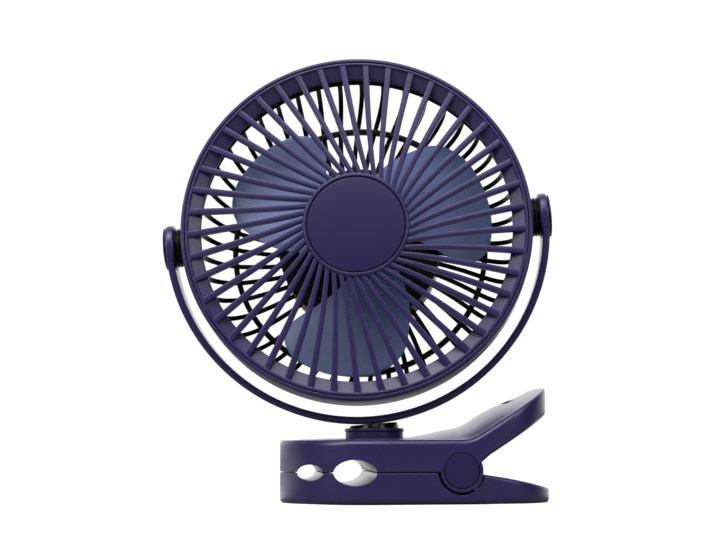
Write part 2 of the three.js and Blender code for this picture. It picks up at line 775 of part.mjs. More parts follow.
const upper = new THREE.Group();
fan.add(upper);
piece('upper_jaw', upperJaw(), purple, upper);
piece('upper_grip_pad', gripPad(split_height + jaw_gap / 2,
  split_height + grip_pad_thick - seat_gap / 2, seat_gap), dark_rubber, upper);
const pin_half = clip_half_width - hinge_cap_thick - 2 * seat_gap;
piece('hinge_pin', hingeBar(pin_radius, -pin_half, pin_half, 20), steel, upper);
for (const [name, side] of [['hinge_cap_front', -1], ['hinge_cap_rear', 1]]) {
  const face = side * (clip_half_width - 0.1);
  const back = side * (clip_half_width - hinge_cap_thick);
  const [a, b] = [face, back].sort((p, q) => p - q);
  const cap = place(softBar(hinge_cap_radius, a, b, 0.3, 28), hinge_along, 0, hinge_up);
  piece(name, cap, purple_disc, upper);
}
piece('clip_spring', clipSpring(), spring_steel, fan);

// neck: the cup swivels on the upper jaw
const swivel = new THREE.Group();
swivel.rotation.z = rad(swivel_rest);
fan.add(swivel);
const cup_low = cup_seat + seat_gap;
const socket_floor = ball_up - socket_deep;
const stem_low = cup_seat - jaw_skin_at_neck - seat_gap;
const socket = ball_radius + seat_gap;
const socket_lip = Math.sqrt(socket ** 2 - (cup_top - ball_up) ** 2);
piece('neck_cup', upright(turned([
  [1.6, stem_low], [stem_radius, stem_low], [stem_radius, cup_low],
  [cup_radius + cup_flare, cup_low], [cup_radius, cup_top - 1],
  [cup_radius - 0.3, cup_top], [socket_lip, cup_top],
  [socket, ball_up], [socket, socket_floor], [1.6, socket_floor],
], 28)), purple, swivel);
const washer_top = cup_seat - jaw_skin_at_neck - seat_gap;
piece('neck_washer', upright(ring(1.9, washer_radius,
  washer_top - seat_gap - washer_thick, washer_top - seat_gap, 24)), steel, swivel);
const screw_head_top = washer_top - 2 * seat_gap - washer_thick;
piece('neck_screw', upright(join(
  bar(1.3, screw_head_top - 0.2, socket_floor - 0.4, 12),
  bar(neck_screw_head, screw_head_top - neck_screw_head_thick, screw_head_top, 20),
)), steel, swivel);

// ball and yoke: they lean on the cup
const lean = new THREE.Group();
lean.position.z = ball_up;
const lean_angle = Math.hypot(lean_back, lean_left);
lean.quaternion.setFromAxisAngle(
  new THREE.Vector3(-lean_back / lean_angle, -lean_left / lean_angle, 0), rad(lean_angle));
swivel.add(lean);
const pivot_up = yoke_lift + yoke_radius;
const yoke_inner = yoke_radius - yoke_thick;
const ballPoint = (z) => Math.sqrt(ball_radius ** 2 - z ** 2);
const ball_rows = [-0.4, 0.6, 1.8, 3.2, yoke_lift + 0.5];
const stud = upright(turned([
  [0, -ball_floor], [ball_floor_radius, -ball_floor], ...ball_rows.map((z) => [ballPoint(z), z]), [0, yoke_lift + 0.5],
], 24));
const underYoke = place(bar(yoke_radius + seat_gap, -30, 30, 120), 0, 0, pivot_up);
const yokeScrewHole = upright(bar(1.5 + seat_gap, -0.4, 20, 12));
piece('ball_stud', cut(stud, underYoke, yokeScrewHole), black, lean);

function yoke() {
  const shape = new THREE.Shape();
  shape.absarc(0, 0, yoke_radius, Math.PI, 2 * Math.PI, false);
  shape.absarc(0, 0, yoke_inner, 2 * Math.PI, Math.PI, true);
  let arch = acrossPrism(shape, -yoke_wide / 2, yoke_wide / 2, 36);
  for (const side of [1, -1]) {
    const pad = bar(yoke_pad_radius, yoke_inner, yoke_radius, 24);
    const face = bar(yoke_pad_radius, yoke_inner - yoke_thick, yoke_inner, 24);
    const hole = bar(1.7, yoke_inner - 2, yoke_radius + 2, 12);
    const head_recess = bar(3.6, yoke_radius - 1.2, yoke_radius + 3, 16);
    arch = cut(arch.add(sided(sideways(pad), side)),
      ...[face, hole, head_recess].map((tool) => sided(sideways(tool), side)));
  }
  const bottom = -yoke_radius;
  const hole = place(upright(bar(1.5 + seat_gap, -5, 5, 12)), 0, 0, bottom);
  const sink = place(upright(bar(3.4, yoke_thick - 1.3, 10, 20)), 0, 0, bottom);
  return place(cut(arch, hole, sink), 0, 0, pivot_up);
}
piece('yoke', yoke(), purple, lean);
const yoke_floor = yoke_lift + yoke_thick;
piece('yoke_screw', upright(join(
  bar(1.5, seat_gap, yoke_floor - 0.6, 12),
  bar(3.1, yoke_floor - 1, yoke_floor - 0.05, 20))), steel, lean);
for (const [name, side] of [['yoke_cap_left', -1], ['yoke_cap_right', 1]]) {
  const low = yoke_radius + seat_gap;
  const cap = turned([
    [0, low], [yoke_cap_radius, low], [yoke_cap_radius, low + 0.5],
    [yoke_cap_radius * 0.7, low + yoke_cap_dome * 0.8], [0, low + yoke_cap_dome],
  ], 28);
  piece(name, place(sided(sideways(cap), side), 0, 0, pivot_up), purple, lean);
}

// head: it tilts in the yoke
const head = new THREE.Group();
head.position.z = pivot_up;
head.rotation.x = rad(tilt_rest);
lean.add(head);
const fromRim = (body) => place(body, 0, -rim_to_pivot, 0);

function guardRing() {
  const outer = guard_radius;
  const inner = guard_radius - ring_wall;
  const band = turned([
    [inner, 0], [outer - 0.6, 0], [outer, 0.6], [outer, ring_depth],
    [inner - ring_flange, ring_depth], [inner - ring_flange, ring_depth - 1.6],
    [inner, ring_depth - 1.6],
  ], 60);
  let body = fromRim(band);
  for (const side of [1, -1]) {
    body = cut(body.add(sided(sideways(bar(4, inner - 4.5, outer - 0.4, 20)), side)),
      sided(sideways(bar(1.2, inner - 6, outer + 1, 12)), side));
  }
  return body;
}
piece('guard_ring', guardRing(), purple, head);
piece('front_guard', fromRim(frontGuard()), purple, head);
const disc_edge = hub_radius - hub_ring_wall - seat_gap;
const disc_back = -hub_forward + disc_dome + 1.9;
piece('hub_disc', fromRim(turned([
  [0, disc_back], [disc_edge, disc_back], [disc_edge, -hub_forward + 0.6],
  [disc_edge - 0.5, -hub_forward + 0.1], [disc_edge * 0.6, -hub_forward - 0.4],
  [0, -hub_forward - 0.6],
], 36)), purple_disc, head);
piece('rear_guard', fromRim(rearGuard()), black, head);

for (const [side_name, side] of [['left', -1], ['right', 1]]) {
  const low = guard_radius + seat_gap;
  const high = yoke_inner - seat_gap;
  const third = (high - low) / 3;
  const groove = spacer_radius - spacer_groove;
  const spacer = turned([
    [1.7, low], [spacer_radius, low], [spacer_radius, low + third * 0.6],
    [groove, low + third], [spacer_radius, low + third * 1.4],
    [spacer_radius, low + third * 1.9], [groove, low + third * 2.3],
    [spacer_radius, high - 0.2], [spacer_radius, high], [1.7, high],
  ], 20);
  piece(`pivot_spacer_${side_name}`, sided(sideways(spacer), side), black, head);
  const screw = join(bar(0.9, guard_radius - ring_wall - 4, yoke_radius - 0.5, 12),
    bar(3.1, yoke_radius - 0.9, yoke_radius - 0.1, 20));
  piece(`pivot_screw_${side_name}`, sided(sideways(screw), side), steel, head);
}

// drive and electrics
const motor_front = tub_front - seat_gap - motor_long;
piece('motor', fromRim(turned([
  [0, motor_front + 0.01], [3, motor_front], [motor_radius - 1, motor_front],
  [motor_radius, motor_front + 1], [motor_radius, tub_front - seat_gap], [0, tub_front - seat_gap],
], 24)), steel, head);

const spin = new THREE.Group();
head.add(spin);
piece('impeller', fromRim(impeller()), blade_blue, spin);
piece('motor_shaft', fromRim(bar(shaft_radius, rotor_front + 1.5, motor_front - seat_gap, 16)), steel, spin);
piece('impeller_nut', fromRim(bar(nut_radius, rotor_front - 0.9, rotor_front - 0.9 + nut_thick, 6)), steel, spin);

const cell_depth = tub_front + tub_wall + seat_gap + cell_radius;
for (const [name, side] of [['battery_cell_upper', 1], ['battery_cell_lower', -1]]) {
  const cell = sideways(softBar(cell_radius, -cell_long / 2, cell_long / 2, 0.6, 24));
  piece(name, fromRim(place(cell, 0, cell_depth, side * cell_apart / 2)), cell_wrap, head);
}
const board_low = cell_depth + cell_radius + seat_gap;
piece('circuit_board', fromRim(block(-board_half_wide, board_half_wide,
  board_low, board_low + board_thick, -board_half_high, board_half_high)),
  board_green, head);

// rear cover with the button, the charging socket and the light
const cover_front = tub_back + seat_gap;
// The socket's body, larger all round by a margin.
const portBlock = (margin, low, high) => block(
  -port_wide / 2 - margin, port_wide / 2 + margin, low, high,
  -port_below - port_high / 2 - margin, -port_below + port_high / 2 + margin);
function rearCover() {
  const outer = tub_radius;
  const back = cover_front + cover_thick;
  let cover = turned([
    [0, cover_front], [outer, cover_front], [outer, cover_front + 0.9],
    [outer - 1.2, back], [0, back],
  ], 32);
  cover = cut(cover, bar(button_radius + seat_gap, 0, 90, 24),
    place(bar(light_radius + seat_gap, 0, 90, 10), 0, 0, light_above),
    portBlock(seat_gap, 0, 90));
  for (let k = 0; k < 3; k++) {
    const a = rad(90 + 120 * k + 60);
    cover = cut(cover, place(bar(2.6, cover_front + 0.9, 90, 12),
      cover_screw_circle * Math.cos(a), 0, cover_screw_circle * Math.sin(a)));
    cover = cut(cover, place(bar(1.2, 0, 90, 8),
      cover_screw_circle * Math.cos(a), 0, cover_screw_circle * Math.sin(a)));
  }
  return cover;
}
piece('rear_cover', fromRim(rearCover()), purple, head);
for (let k = 0; k < 3; k++) {
  const a = rad(90 + 120 * k + 60);
  const screw = join(bar(2.3, cover_front + 1.1, cover_front + cover_thick, 12),
    bar(0.9, cover_front - 5, cover_front + 1.3, 8));
  piece(`cover_screw_${k + 1}`, fromRim(place(screw,
    cover_screw_circle * Math.cos(a), 0, cover_screw_circle * Math.sin(a))), steel, head);
}
const button_back = cover_front + cover_thick + button_proud;
const button_front = board_low + board_thick + button_travel + seat_gap;
piece('power_button', fromRim(softBar(button_radius, button_front, button_back, 0.4, 24)), black, head);
const port_front = cover_front + cover_thick - port_deep;
piece('charging_socket', fromRim(cut(
  portBlock(0, port_front, cover_front + cover_thick - 0.1),
  portBlock(-port_shell, port_front + 1, 90))), steel, head);
piece('status_light', fromRim(place(bar(light_radius, board_low + board_thick + seat_gap,
  cover_front + cover_thick, 12), 0, 0, light_above)), clear_light, head);

export default fan;
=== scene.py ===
import json
import math

import bmesh
import bpy
from mathutils import Matrix, Vector

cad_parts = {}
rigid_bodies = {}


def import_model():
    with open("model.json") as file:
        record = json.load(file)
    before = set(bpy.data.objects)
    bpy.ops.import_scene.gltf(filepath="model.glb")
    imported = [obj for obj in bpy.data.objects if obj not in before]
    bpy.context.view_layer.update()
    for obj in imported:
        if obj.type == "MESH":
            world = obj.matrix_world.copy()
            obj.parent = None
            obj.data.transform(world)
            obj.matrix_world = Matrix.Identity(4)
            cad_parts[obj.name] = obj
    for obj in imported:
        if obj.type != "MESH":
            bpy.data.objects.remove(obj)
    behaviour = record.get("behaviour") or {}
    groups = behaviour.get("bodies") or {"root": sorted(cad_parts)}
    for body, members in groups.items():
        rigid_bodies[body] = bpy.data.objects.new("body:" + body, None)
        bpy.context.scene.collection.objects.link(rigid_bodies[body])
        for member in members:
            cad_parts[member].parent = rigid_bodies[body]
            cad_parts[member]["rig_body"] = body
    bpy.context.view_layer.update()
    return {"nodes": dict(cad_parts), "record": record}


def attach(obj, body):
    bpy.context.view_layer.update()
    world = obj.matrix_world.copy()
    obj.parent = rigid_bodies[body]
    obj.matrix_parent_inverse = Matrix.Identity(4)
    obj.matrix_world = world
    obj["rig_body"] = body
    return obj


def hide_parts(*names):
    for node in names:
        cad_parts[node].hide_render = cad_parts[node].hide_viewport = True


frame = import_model()
MM = 0.001

# ---------- sizes that follow the part's source ----------

seat_gap = 0.3
clip_half_width, nose_length, handle_reach, lever_reach = 38, 42.7, 77.7, 75.3
tip_round, tip_power = 30, 2.7
pad_proud, split_height, jaw_gap = 0.4, 14, 0.4
jaw_top, jaw_crown, jaw_edge = 28, 1.2, 2.4
handle_root_drop, handle_tip_height = 0.9, 6
lever_slope, lever_thick, lever_start, lever_blend = 32.5, 9.6, 34.8, 8.6
lever_crown, lever_tip_crown, body_end = 6, 2, 42.8
hang_slot_place, hang_slot_wide, hang_slot_long = 61, 5, 18
notches = ((-30.6, 10.8, 7.6), (-11.7, 18.5, 12.2))
hinge_along, hinge_up = 34.2, 14.7
knuckle_radius, knuckle_recess, knuckle_wide = 9.3, 10.4, 10
lug_wide, lug_radius, pin_radius = 6, 6.4, 2
hinge_cap_radius, hinge_cap_thick = 7.6, 2
cup_radius, cup_flare, cup_top, cup_seat = 13, 0.5, 33.3, 25.3
ball_radius, ball_up, ball_floor, ball_floor_radius = 11.7, 30.6, 1.4, 7
swivel_rest, lean_back, lean_left, tilt_rest = -6.6, 0.5, 4.6, -6.2
yoke_radius, yoke_thick, yoke_wide, yoke_lift = 88, 3.2, 16, 4.9
yoke_pad_radius, yoke_cap_radius, yoke_cap_dome = 10.6, 9.7, 1.2
spacer_radius, spacer_groove = 9, 0.8
guard_radius, rim_to_pivot, ring_wall, ring_depth, ring_flange = 80, 14, 1.7, 18, 3
lip_wide, lip_step, ledge_wide, ledge_slope = 1.3, 1.2, 5.7, 2.6
duct_wall, duct_depth, duct_step = 1.4, 11, 2.4
rib_count, rib_first, swirl_front, swirl_power = 45, 2.1, 18, 1.5
rib_wide_rim, rib_wide_hub, rib_deep = 2.9, 2.1, 2.8
hub_forward, hub_radius, hub_ring_wall, hub_ring_depth = 2, 24.2, 1.6, 6
hub_plate, disc_dome = 1.4, 0.7
bowl_depth, bowl_ring_radius, bowl_ring_wide = 52, 60.4, 2.6
swirl_rear, rear_rib_wide, rear_rib_deep = 6, 1.8, 2.6
tub_radius, tub_front, tub_back, tub_wall = 38.6, 40, 63, 2
tip_room, blade_middle, blade_pitch, blade_thick = 17, 29, 11.5, 1.7
blade_count, blade_first = 3, 22
rotor_radius, rotor_front, rotor_back, rotor_wall = 17, 11, 35, 1.8
shaft_radius, nut_radius = 1.5, 2.8

# ---------- sizes that only the scene uses ----------

# Where the scene departs from the solids: lower and rounder notches, a crisper nose, a longer
# lever, a wider impeller that lies deeper, thicker yoke pads and stouter rear ribs.
notch_low, notch_point, nose_share = 0.91, 1.1, 0.5
lever_further, tip_further, blade_deeper = 1.4, 1.6, 1.5
yoke_pad_deep, rear_rib_extra = 1, 0.5

# Clip. The tools that cut through its top reach up to sky.
split_edge, handle_edge, base_edge, handle_crown = 0.35, 1.6, 2.6, 0.6
heel_fillet, heel_share = 4.4, 0.9
crown_start, crown_run, tip_crown_start = 12, 28, 48
lug_room, hinge_inset, hinge_cap_edge = 3.2, 0.1, 1.2
spring_reach, spring_half, spring_room = 17, 8, 5.8
grip_start, grip_end, grip_half, grip_deep = 3, 17, 29, 1.6
foot_side, foot_end, foot_deep, foot_thick = 8, 10, 1.55, 1.4
lug_floor, sky = 3, 60
end_steps, nose_flat, tip_flat, station_gap = 22, 0.28, 0.35, 0.03
corner_steps, crown_steps, notch_steps = 6, 20, 60

# Neck and yoke.
stem_radius, stem_low, stem_hole, stem_floor = 4, 23, 4.3, 2
washer_hole, washer_deep, screw_hole, cup_bore = 5.9, 3.8, 2.2, 1.6
cup_lip, cup_lip_edge, cup_taper, cup_room = 1.6, 0.3, 0.2, 0.4
socket_deep, ball_step = 3, 0.8
yoke_edge, yoke_steps, pivot_bore, yoke_cap_rim = 0.7, 120, 1.7, 0.5

# Head.
ring_chamfer, ring_flange_thick = 0.6, 1.6
boss_radius, boss_bore, boss_deep, boss_sunk = 4, 1.2, 4.5, 0.4
skirt_deep, skirt_wall, ledge_thick, lip_chamfer = 6, 1.4, 1.6, 0.35
hub_seat, hub_chamfer, rib_start_in, rib_end_in = 2.2, 0.5, 0.5, 0.8
rib_steps, rib_spread, rib_raise, rib_drop, rib_bow = 18, 0.8, 0.25, 0.5, 1.7
# The painted shade strip behind the ledge: its thickness, front, back and how far it stands in
# from the duct.
shade_strip_thick, shade_strip_front, shade_strip_back, shade_strip_proud = 0.5, 5.6, 16, 0.15
disc_thick, disc_bevel, disc_low, disc_shoulder, disc_crown = 1.9, 0.5, 0.6, 0.4, 0.6
seat_hoop_wide, seat_hoop_in, seat_hoop_deep = 3.4, 0.2, 2
hoop_front, hoop_back, tub_bore = 4, 1.2, 3.1
bowl_in, bowl_bend, bowl_power, bowl_steps = 8, 0.9, 0.8, 16
bowl_rib_in, bowl_rib_deep = 2.2, 1.3
spacer_edge = 0.2

# Impeller.
rotor_dome, rotor_bevel, rotor_bevel_back, rotor_plate = 3, 0.8, 0.9, 3.2
rotor_boss, rotor_boss_deep, nut_room, nut_recess = 4, 5, 1, 1.2
blade_sunk, blade_columns, blade_thin = 1, 24, 0.35

# Worked out from the sizes above.
yoke_inner = yoke_radius - yoke_thick
tip_radius = guard_radius - tip_room
pivot_up = yoke_lift + yoke_radius
jaw_low = split_height + jaw_gap / 2
jaw_high = split_height - jaw_gap / 2
lip_outer = guard_radius - ring_wall - seat_gap
lip_inner = lip_outer - lip_wide
ledge_inner = lip_inner - ledge_wide


def rad(degrees):
    return math.radians(degrees)


def mix(a, b, t):
    return a + (b - a) * t


def smooth(t):
    s = min(1.0, max(0.0, t))
    return s * s * (3 - 2 * s)


# ---------- places ----------
# Each place turns a body's own frame into the rest pose: the clip stands still, the neck turns
# on it, the yoke leans on the neck's ball, and the head tilts between the yoke's arms.

lean_angle = math.hypot(lean_back, lean_left)
at_swivel = Matrix.Rotation(rad(swivel_rest), 4, "Z")
at_lean = (at_swivel @ Matrix.Translation((0, 0, ball_up))
           @ Matrix.Rotation(rad(lean_angle), 4, Vector((-lean_back, -lean_left, 0))))
at_head = at_lean @ Matrix.Translation((0, 0, pivot_up)) @ Matrix.Rotation(rad(tilt_rest), 4, "X")
at_rim = at_head @ Matrix.Translation((0, -rim_to_pivot, 0))
turn_up = Matrix.Rotation(rad(90), 4, "X")
turn_side = {1: Matrix.Rotation(rad(-90), 4, "Z"), -1: Matrix.Rotation(rad(90), 4, "Z")}


# ---------- meshes ----------

def lathe(profile, segments=96):
    """Rings about Y from [radius, height] points; radius 0 closes on the axis."""
    verts, faces, rows = [], [], []
    for r, y in profile:
        if r < 1e-6:
            rows.append([len(verts)] * segments)
            verts.append((0, y, 0))
        else:
            rows.append(list(range(len(verts), len(verts) + segments)))
            for k in range(segments):
                a = 2 * math.pi * k / segments
                verts.append((r * math.cos(a), y, r * math.sin(a)))
    loop = profile[0][0] > 0 and profile[-1][0] > 0
    count = len(rows) if loop else len(rows) - 1
    for i in range(count):
        low, high = rows[i], rows[(i + 1) % len(rows)]
        for k in range(segments):
            m = (k + 1) % segments
            face = []
            for v in (low[k], low[m], high[m], high[k]):
                if v not in face:
                    face.append(v)
            if len(face) > 2:
                faces.append(face)
    return verts, faces


def soften(profile, edge=0.3, steps=3):
    """The profile with each corner off the axis rounded."""
    loop = profile[0][0] > 0 and profile[-1][0] > 0
    points = [Vector(p) for p in profile]
    out = []
    n = len(points)
    for i, p in enumerate(points):
        if not loop and i in (0, n - 1):
            out.append(tuple(p))
            continue
        before, after = points[i - 1], points[(i + 1) % n]
        a, b = before - p, after - p
        if a.length < 1e-4 or b.length < 1e-4 or abs(a.normalized().dot(b.normalized())) > 0.97:
            out.append(tuple(p))
            continue
        reach = min(edge, a.length * 0.45, b.length * 0.45)
        start, end = p + a.normalized() * reach, p + b.normalized() * reach
        for k in range(steps + 1):
            t = k / steps
            q = start * (1 - t) ** 2 + p * (2 * t * (1 - t)) + end * t * t
            out.append(tuple(q))
    return out


def skin(rings, bent_ends=False):
    """Rings of points joined into a closed skin."""
    n = len(rings[0])
    verts = [tuple(p) for ring in rings for p in ring]
    faces = []
    for i in range(len(rings) - 1):
        for k in range(n):
            m = (k + 1) % n
            faces.append((i * n + k, i * n + m, (i + 1) * n + m, (i + 1) * n + k))
    last = (len(rings) - 1) * n
    if bent_ends:
        for base, flip in ((0, True), (last, False)):
            half = n // 2
            for k in range(half - 1):
                quad = (base + k, base + k + 1, base + n - 2 - k, base + n - 1 - k)
                faces.append(quad[::-1] if flip else quad)
    else:
        faces.append(tuple(range(n))[::-1])
        faces.append(tuple(range(last, last + n)))
    return verts, faces


def prism(outline, y0, y1):
    """An outline in X and Z run along Y."""
    return skin([[(x, y, z) for x, z in outline] for y in (y0, y1)])


def plan(outline, z0, z1):
    return skin([[(x, y, z) for x, y in outline] for z in (z0, z1)])


def arc(cx, cy, r, a0, a1, steps):
    return [(cx + r * math.cos(mix(a0, a1, i / steps)), cy + r * math.sin(mix(a0, a1, i / steps)))
            for i in range(steps + 1)]


def box(x0, x1, y0, y1, z0, z1):
    return prism([(x0, z0), (x1, z0), (x1, z1), (x0, z1)], y0, y1)


def merged(*parts):
    verts, faces = [], []
    for v, f in parts:
        base = len(verts)
        verts += v
        faces += [tuple(i + base for i in face) for face in f]
    return verts, faces


def placed(part, matrix):
    verts, faces = part
    return [tuple(matrix @ Vector(v)) for v in verts], faces


def make(name, part, sharp=32):
    """A mesh object in metres with outward faces, smooth below the sharp angle."""
    verts, faces = part
    mesh = bpy.data.meshes.new(name)
    mesh.from_pydata([tuple(Vector(v) * MM) for v in verts], [], faces)
    b = bmesh.new()
    b.from_mesh(mesh)
    bmesh.ops.remove_doubles(b, verts=b.verts, dist=1e-6)
    bmesh.ops.recalc_face_normals(b, faces=b.faces)
    b.to_mesh(mesh)
    b.free()
    obj = bpy.data.objects.new(name, mesh)
    bpy.context.scene.collection.objects.link(obj)
    shade(obj, sharp)
    return obj


def shade(obj, sharp=32):
    mesh = obj.data
    b = bmesh.new()
    b.from_mesh(mesh)
    for face in b.faces:
        face.smooth = True
    for edge in b.edges:
        edge.smooth = len(edge.link_faces) == 2 and edge.calc_face_angle(0) < rad(sharp)
    b.to_mesh(mesh)
    b.free()


def boolean(obj, tool, how):
    mod = obj.modifiers.new("cut", "BOOLEAN")
    mod.operation, mod.object, mod.solver = how, tool, "EXACT"
    depsgraph = bpy.context.evaluated_depsgraph_get()
    done = bpy.data.meshes.new_from_object(obj.evaluated_get(depsgraph))
    obj.modifiers.clear()
    old, obj.data = obj.data, done
    done.name = obj.name
    bpy.data.meshes.remove(old)
    spare = tool.data
    bpy.data.objects.remove(tool)
    bpy.data.meshes.remove(spare)


def cut(obj, *parts):
    for part in parts:
        boolean(obj, make("tool", part), "DIFFERENCE")


def fuse(obj, *parts):
    for part in parts:
        boolean(obj, make("tool", part), "UNION")


def refined(node):
    """A welded, smooth-shaded copy of a CAD node."""
    source = frame["nodes"][node]
    mesh = source.data.copy()
    b = bmesh.new()
    b.from_mesh(mesh)
    bmesh.ops.remove_doubles(b, verts=b.verts, dist=2e-6)
    b.to_mesh(mesh)
    b.free()
    if mesh.has_custom_normals:
        mesh.attributes.remove(mesh.attributes["custom_normal"])
    obj = bpy.data.objects.new(node + "_fine", mesh)
    bpy.context.scene.collection.objects.link(obj)
    shade(obj)
    return obj


# ---------- materials ----------

# A slow drift of the tone over centimetres, and a fine grain in gloss and relief.
drift_scale, drift_detail, grain_detail, grain_deep, rough_spread = 22, 3, 2, 0.0002, 0.05


def nodes_of(material):
    material.use_nodes = True
    tree = material.node_tree
    tree.nodes.clear()
    return tree, tree.nodes, tree.links


def linear(rgb):
    return [c / 12.92 if c <= 0.04045 else ((c + 0.055) / 1.055) ** 2.4
            for c in (v / 255 for v in rgb)]


def plastic(name, rgb, rough, grain=900, bump=0.06, vary=0.08, edge=0.35, spec=0.5,
            metallic=0.0):
    """Moulded material: slight tone drift, spark-eroded grain, softened edges."""
    material = bpy.data.materials.new(name)
    tree, nodes, links = nodes_of(material)
    out = nodes.new("ShaderNodeOutputMaterial")
    shader = nodes.new("ShaderNodeBsdfPrincipled")
    coords = nodes.new("ShaderNodeTexCoord")
    drift = nodes.new("ShaderNodeTexNoise")
    drift.inputs["Scale"].default_value = drift_scale
    drift.inputs["Detail"].default_value = drift_detail
    fine = nodes.new("ShaderNodeTexNoise")
    fine.inputs["Scale"].default_value = grain
    fine.inputs["Detail"].default_value = grain_detail
    tone = nodes.new("ShaderNodeMix")
    tone.data_type = "RGBA"
    base = linear(rgb)
    tone.inputs["A"].default_value = [c * (1 - vary) for c in base] + [1]
    tone.inputs["B"].default_value = [min(1, c * (1 + vary)) for c in base] + [1]
    rub = nodes.new("ShaderNodeMapRange")
    rub.inputs["To Min"].default_value = rough - rough_spread
    rub.inputs["To Max"].default_value = rough + rough_spread
    round_off = nodes.new("ShaderNodeBevel")
    round_off.samples = 4
    round_off.inputs["Radius"].default_value = edge * MM
    grit = nodes.new("ShaderNodeBump")
    grit.inputs["Strength"].default_value = bump
    grit.inputs["Distance"].default_value = grain_deep
    for texture in (drift, fine):
        links.new(coords.outputs["Object"], texture.inputs["Vector"])
    links.new(drift.outputs["Fac"], tone.inputs["Factor"])
    links.new(fine.outputs["Fac"], rub.inputs["Value"])
    links.new(fine.outputs["Fac"], grit.inputs["Height"])
    links.new(round_off.outputs["Normal"], grit.inputs["Normal"])
    links.new(tone.outputs["Result"], shader.inputs["Base Color"])
    links.new(rub.outputs["Result"], shader.inputs["Roughness"])
    links.new(grit.outputs["Normal"], shader.inputs["Normal"])
    shader.inputs["Specular IOR Level"].default_value = spec
    shader.inputs["Metallic"].default_value = metallic
    links.new(shader.outputs["BSDF"], out.inputs["Surface"])
    return material


purple = plastic("purple_shell", (41, 33, 78), 0.3, spec=0.4)
purple_disc = plastic("purple_disc", (38, 31, 71), 0.38, spec=0.18)
black = plastic("black_shell", (7, 7, 9), 0.36, bump=0.03, spec=0.2)
# Near-black matt, worn only by the painted shade strip behind the ledge.
painted_shade_black = plastic("painted_shade_black", (4, 4, 5), 0.8, bump=0.03, spec=0.05)
black_ball = plastic("black_ball", (8, 7, 12), 0.2, bump=0.02, spec=0.2)
blue = plastic("blade_blue", (128, 144, 200), 0.3, spec=0.4, bump=0.03)
rubber = plastic("rubber_pad", (26, 25, 31), 0.85, bump=0.25, grain=600, spec=0.25)
steel = plastic("steel", (190, 191, 194), 0.3, grain=1500, bump=0.05, metallic=1)
wrap = plastic("cell_wrap", (38, 92, 160), 0.4)
board = plastic("board_green", (26, 84, 52), 0.5, grain=500)
lens = plastic("light_lens", (225, 232, 245), 0.15, bump=0.02)


def wear(obj, material):
    obj.data.materials.clear()
    obj.data.materials.append(material)


def stand(obj, body, material, slot_name, *nodes):
    """The piece rides on its body, stands for its CAD nodes and wears its material."""
    wear(obj, material)
    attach(obj, body)
    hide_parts(*nodes)
    return obj


# ---------- clip ----------

def stations(reach, extra):
    """The clip's half width along X, from the half-round nose to the squarer tip at reach."""
    rows = []
    for i in range(end_steps):
        a = math.pi / 2 * (i + nose_flat) / end_steps
        rows.append((-nose_length * math.cos(a), clip_half_width * math.sin(a)))
    start = reach - tip_round

    def width_at(x):
        if x < start:
            return clip_half_width
        t = (x - start) / tip_round
        return clip_half_width * max(0, 1 - t ** tip_power) ** (1 / tip_power)

    rows += [(x, width_at(x)) for x in extra if x < reach]
    for i in range(end_steps + 1):
        a = math.pi / 2 * i / (end_steps + tip_flat)
        x = start + tip_round * math.sin(a) ** (2 / tip_power)
        rows.append((x, width_at(x)))
    rows[0] = (-nose_length, rows[0][1])
    rows.sort()
    kept = []
    for row in rows:
        if not kept or row[0] - kept[-1][0] > station_gap:
            kept.append(row)
    return kept


def end_drop(depth, edge):
    """How far an edge's rounding pulls the section in at this depth from the end."""
    return edge - math.sqrt(max(0, edge ** 2 - (edge - depth) ** 2)) if depth < edge else 0


def jaw_section(x, half, low, high, crown, top_edge, low_edge, reach):
    """A jaw's closed section at x, with round edges and a crowned top."""
    depth = min(x + nose_length, reach - x)
    share = nose_share if x < 0 else 1
    low += end_drop(depth, low_edge * share)
    high -= end_drop(depth, top_edge * share)
    over = min(top_edge, half * 0.8, (high - low) * 0.45)
    under = min(low_edge, half * 0.8, (high - low) * 0.45)
    points = []

    def corner(middle_y, middle_z, edge, start):
        for i in range(corner_steps + 1):
            a = start + math.pi / 2 * i / corner_steps
            points.append((x, middle_y + edge * math.cos(a), middle_z + edge * math.sin(a)))

    corner(half - under, low + under, under, -math.pi / 2)
    corner(half - over, high - over, over, 0)
    side = (half - over) / clip_half_width
    for i in range(1, crown_steps):
        y = (half - over) * (1 - 2 * i / crown_steps)
        points.append((x, y, high + crown * (side * side - (y / clip_half_width) ** 2)))
    corner(-half + over, high - over, over, math.pi / 2)
    corner(-half + under, low + under, under, math.pi)
    return points


lever_rise = math.tan(rad(lever_slope))
lever_look = lever_reach + lever_further


def lever_edge(x):
    """The height of the lever's top edge, which bends up from the jaw in a soft curve."""
    t = x - lever_start
    if t <= 0:
        return jaw_top
    if t < lever_blend:
        return jaw_top + lever_rise * t * t / (2 * lever_blend)
    return jaw_top + lever_rise * (t - lever_blend / 2)


def crown_at(x):
    """How far the jaw's top is domed above its edges."""
    grown = mix(jaw_crown, lever_crown, smooth((x - crown_start) / crown_run))
    fall = smooth((x - tip_crown_start) / (lever_reach - tip_crown_start))
    return mix(grown, lever_tip_crown, fall)


def lever_under(x):
    return lever_edge(x) - lever_thick / math.cos(rad(lever_slope))


def notch_outline(middle, width, height):
    """A notch with a point at each end, where the jaws part."""
    half, rise = width / 2, height / 2 * notch_low
    points = []
    for i in range(notch_steps):
        a = 2 * math.pi * i / notch_steps
        lift = abs(math.sin(a)) ** notch_point
        points.append((middle + half * math.cos(a),
                       split_height + math.copysign(rise * lift, math.sin(a))))
    return points


through = clip_half_width + 2
hinge_face = clip_half_width - hinge_inset
knuckle_in = clip_half_width - knuckle_wide
lug_out = knuckle_in - seat_gap
lug_in = lug_out - lug_wide


def hinge_bar(radius, y0, y1, segments=96):
    return placed(lathe([(0, y0), (radius, y0), (radius, y1), (0, y1)], segments),
                  Matrix.Translation((hinge_along, 0, hinge_up)))


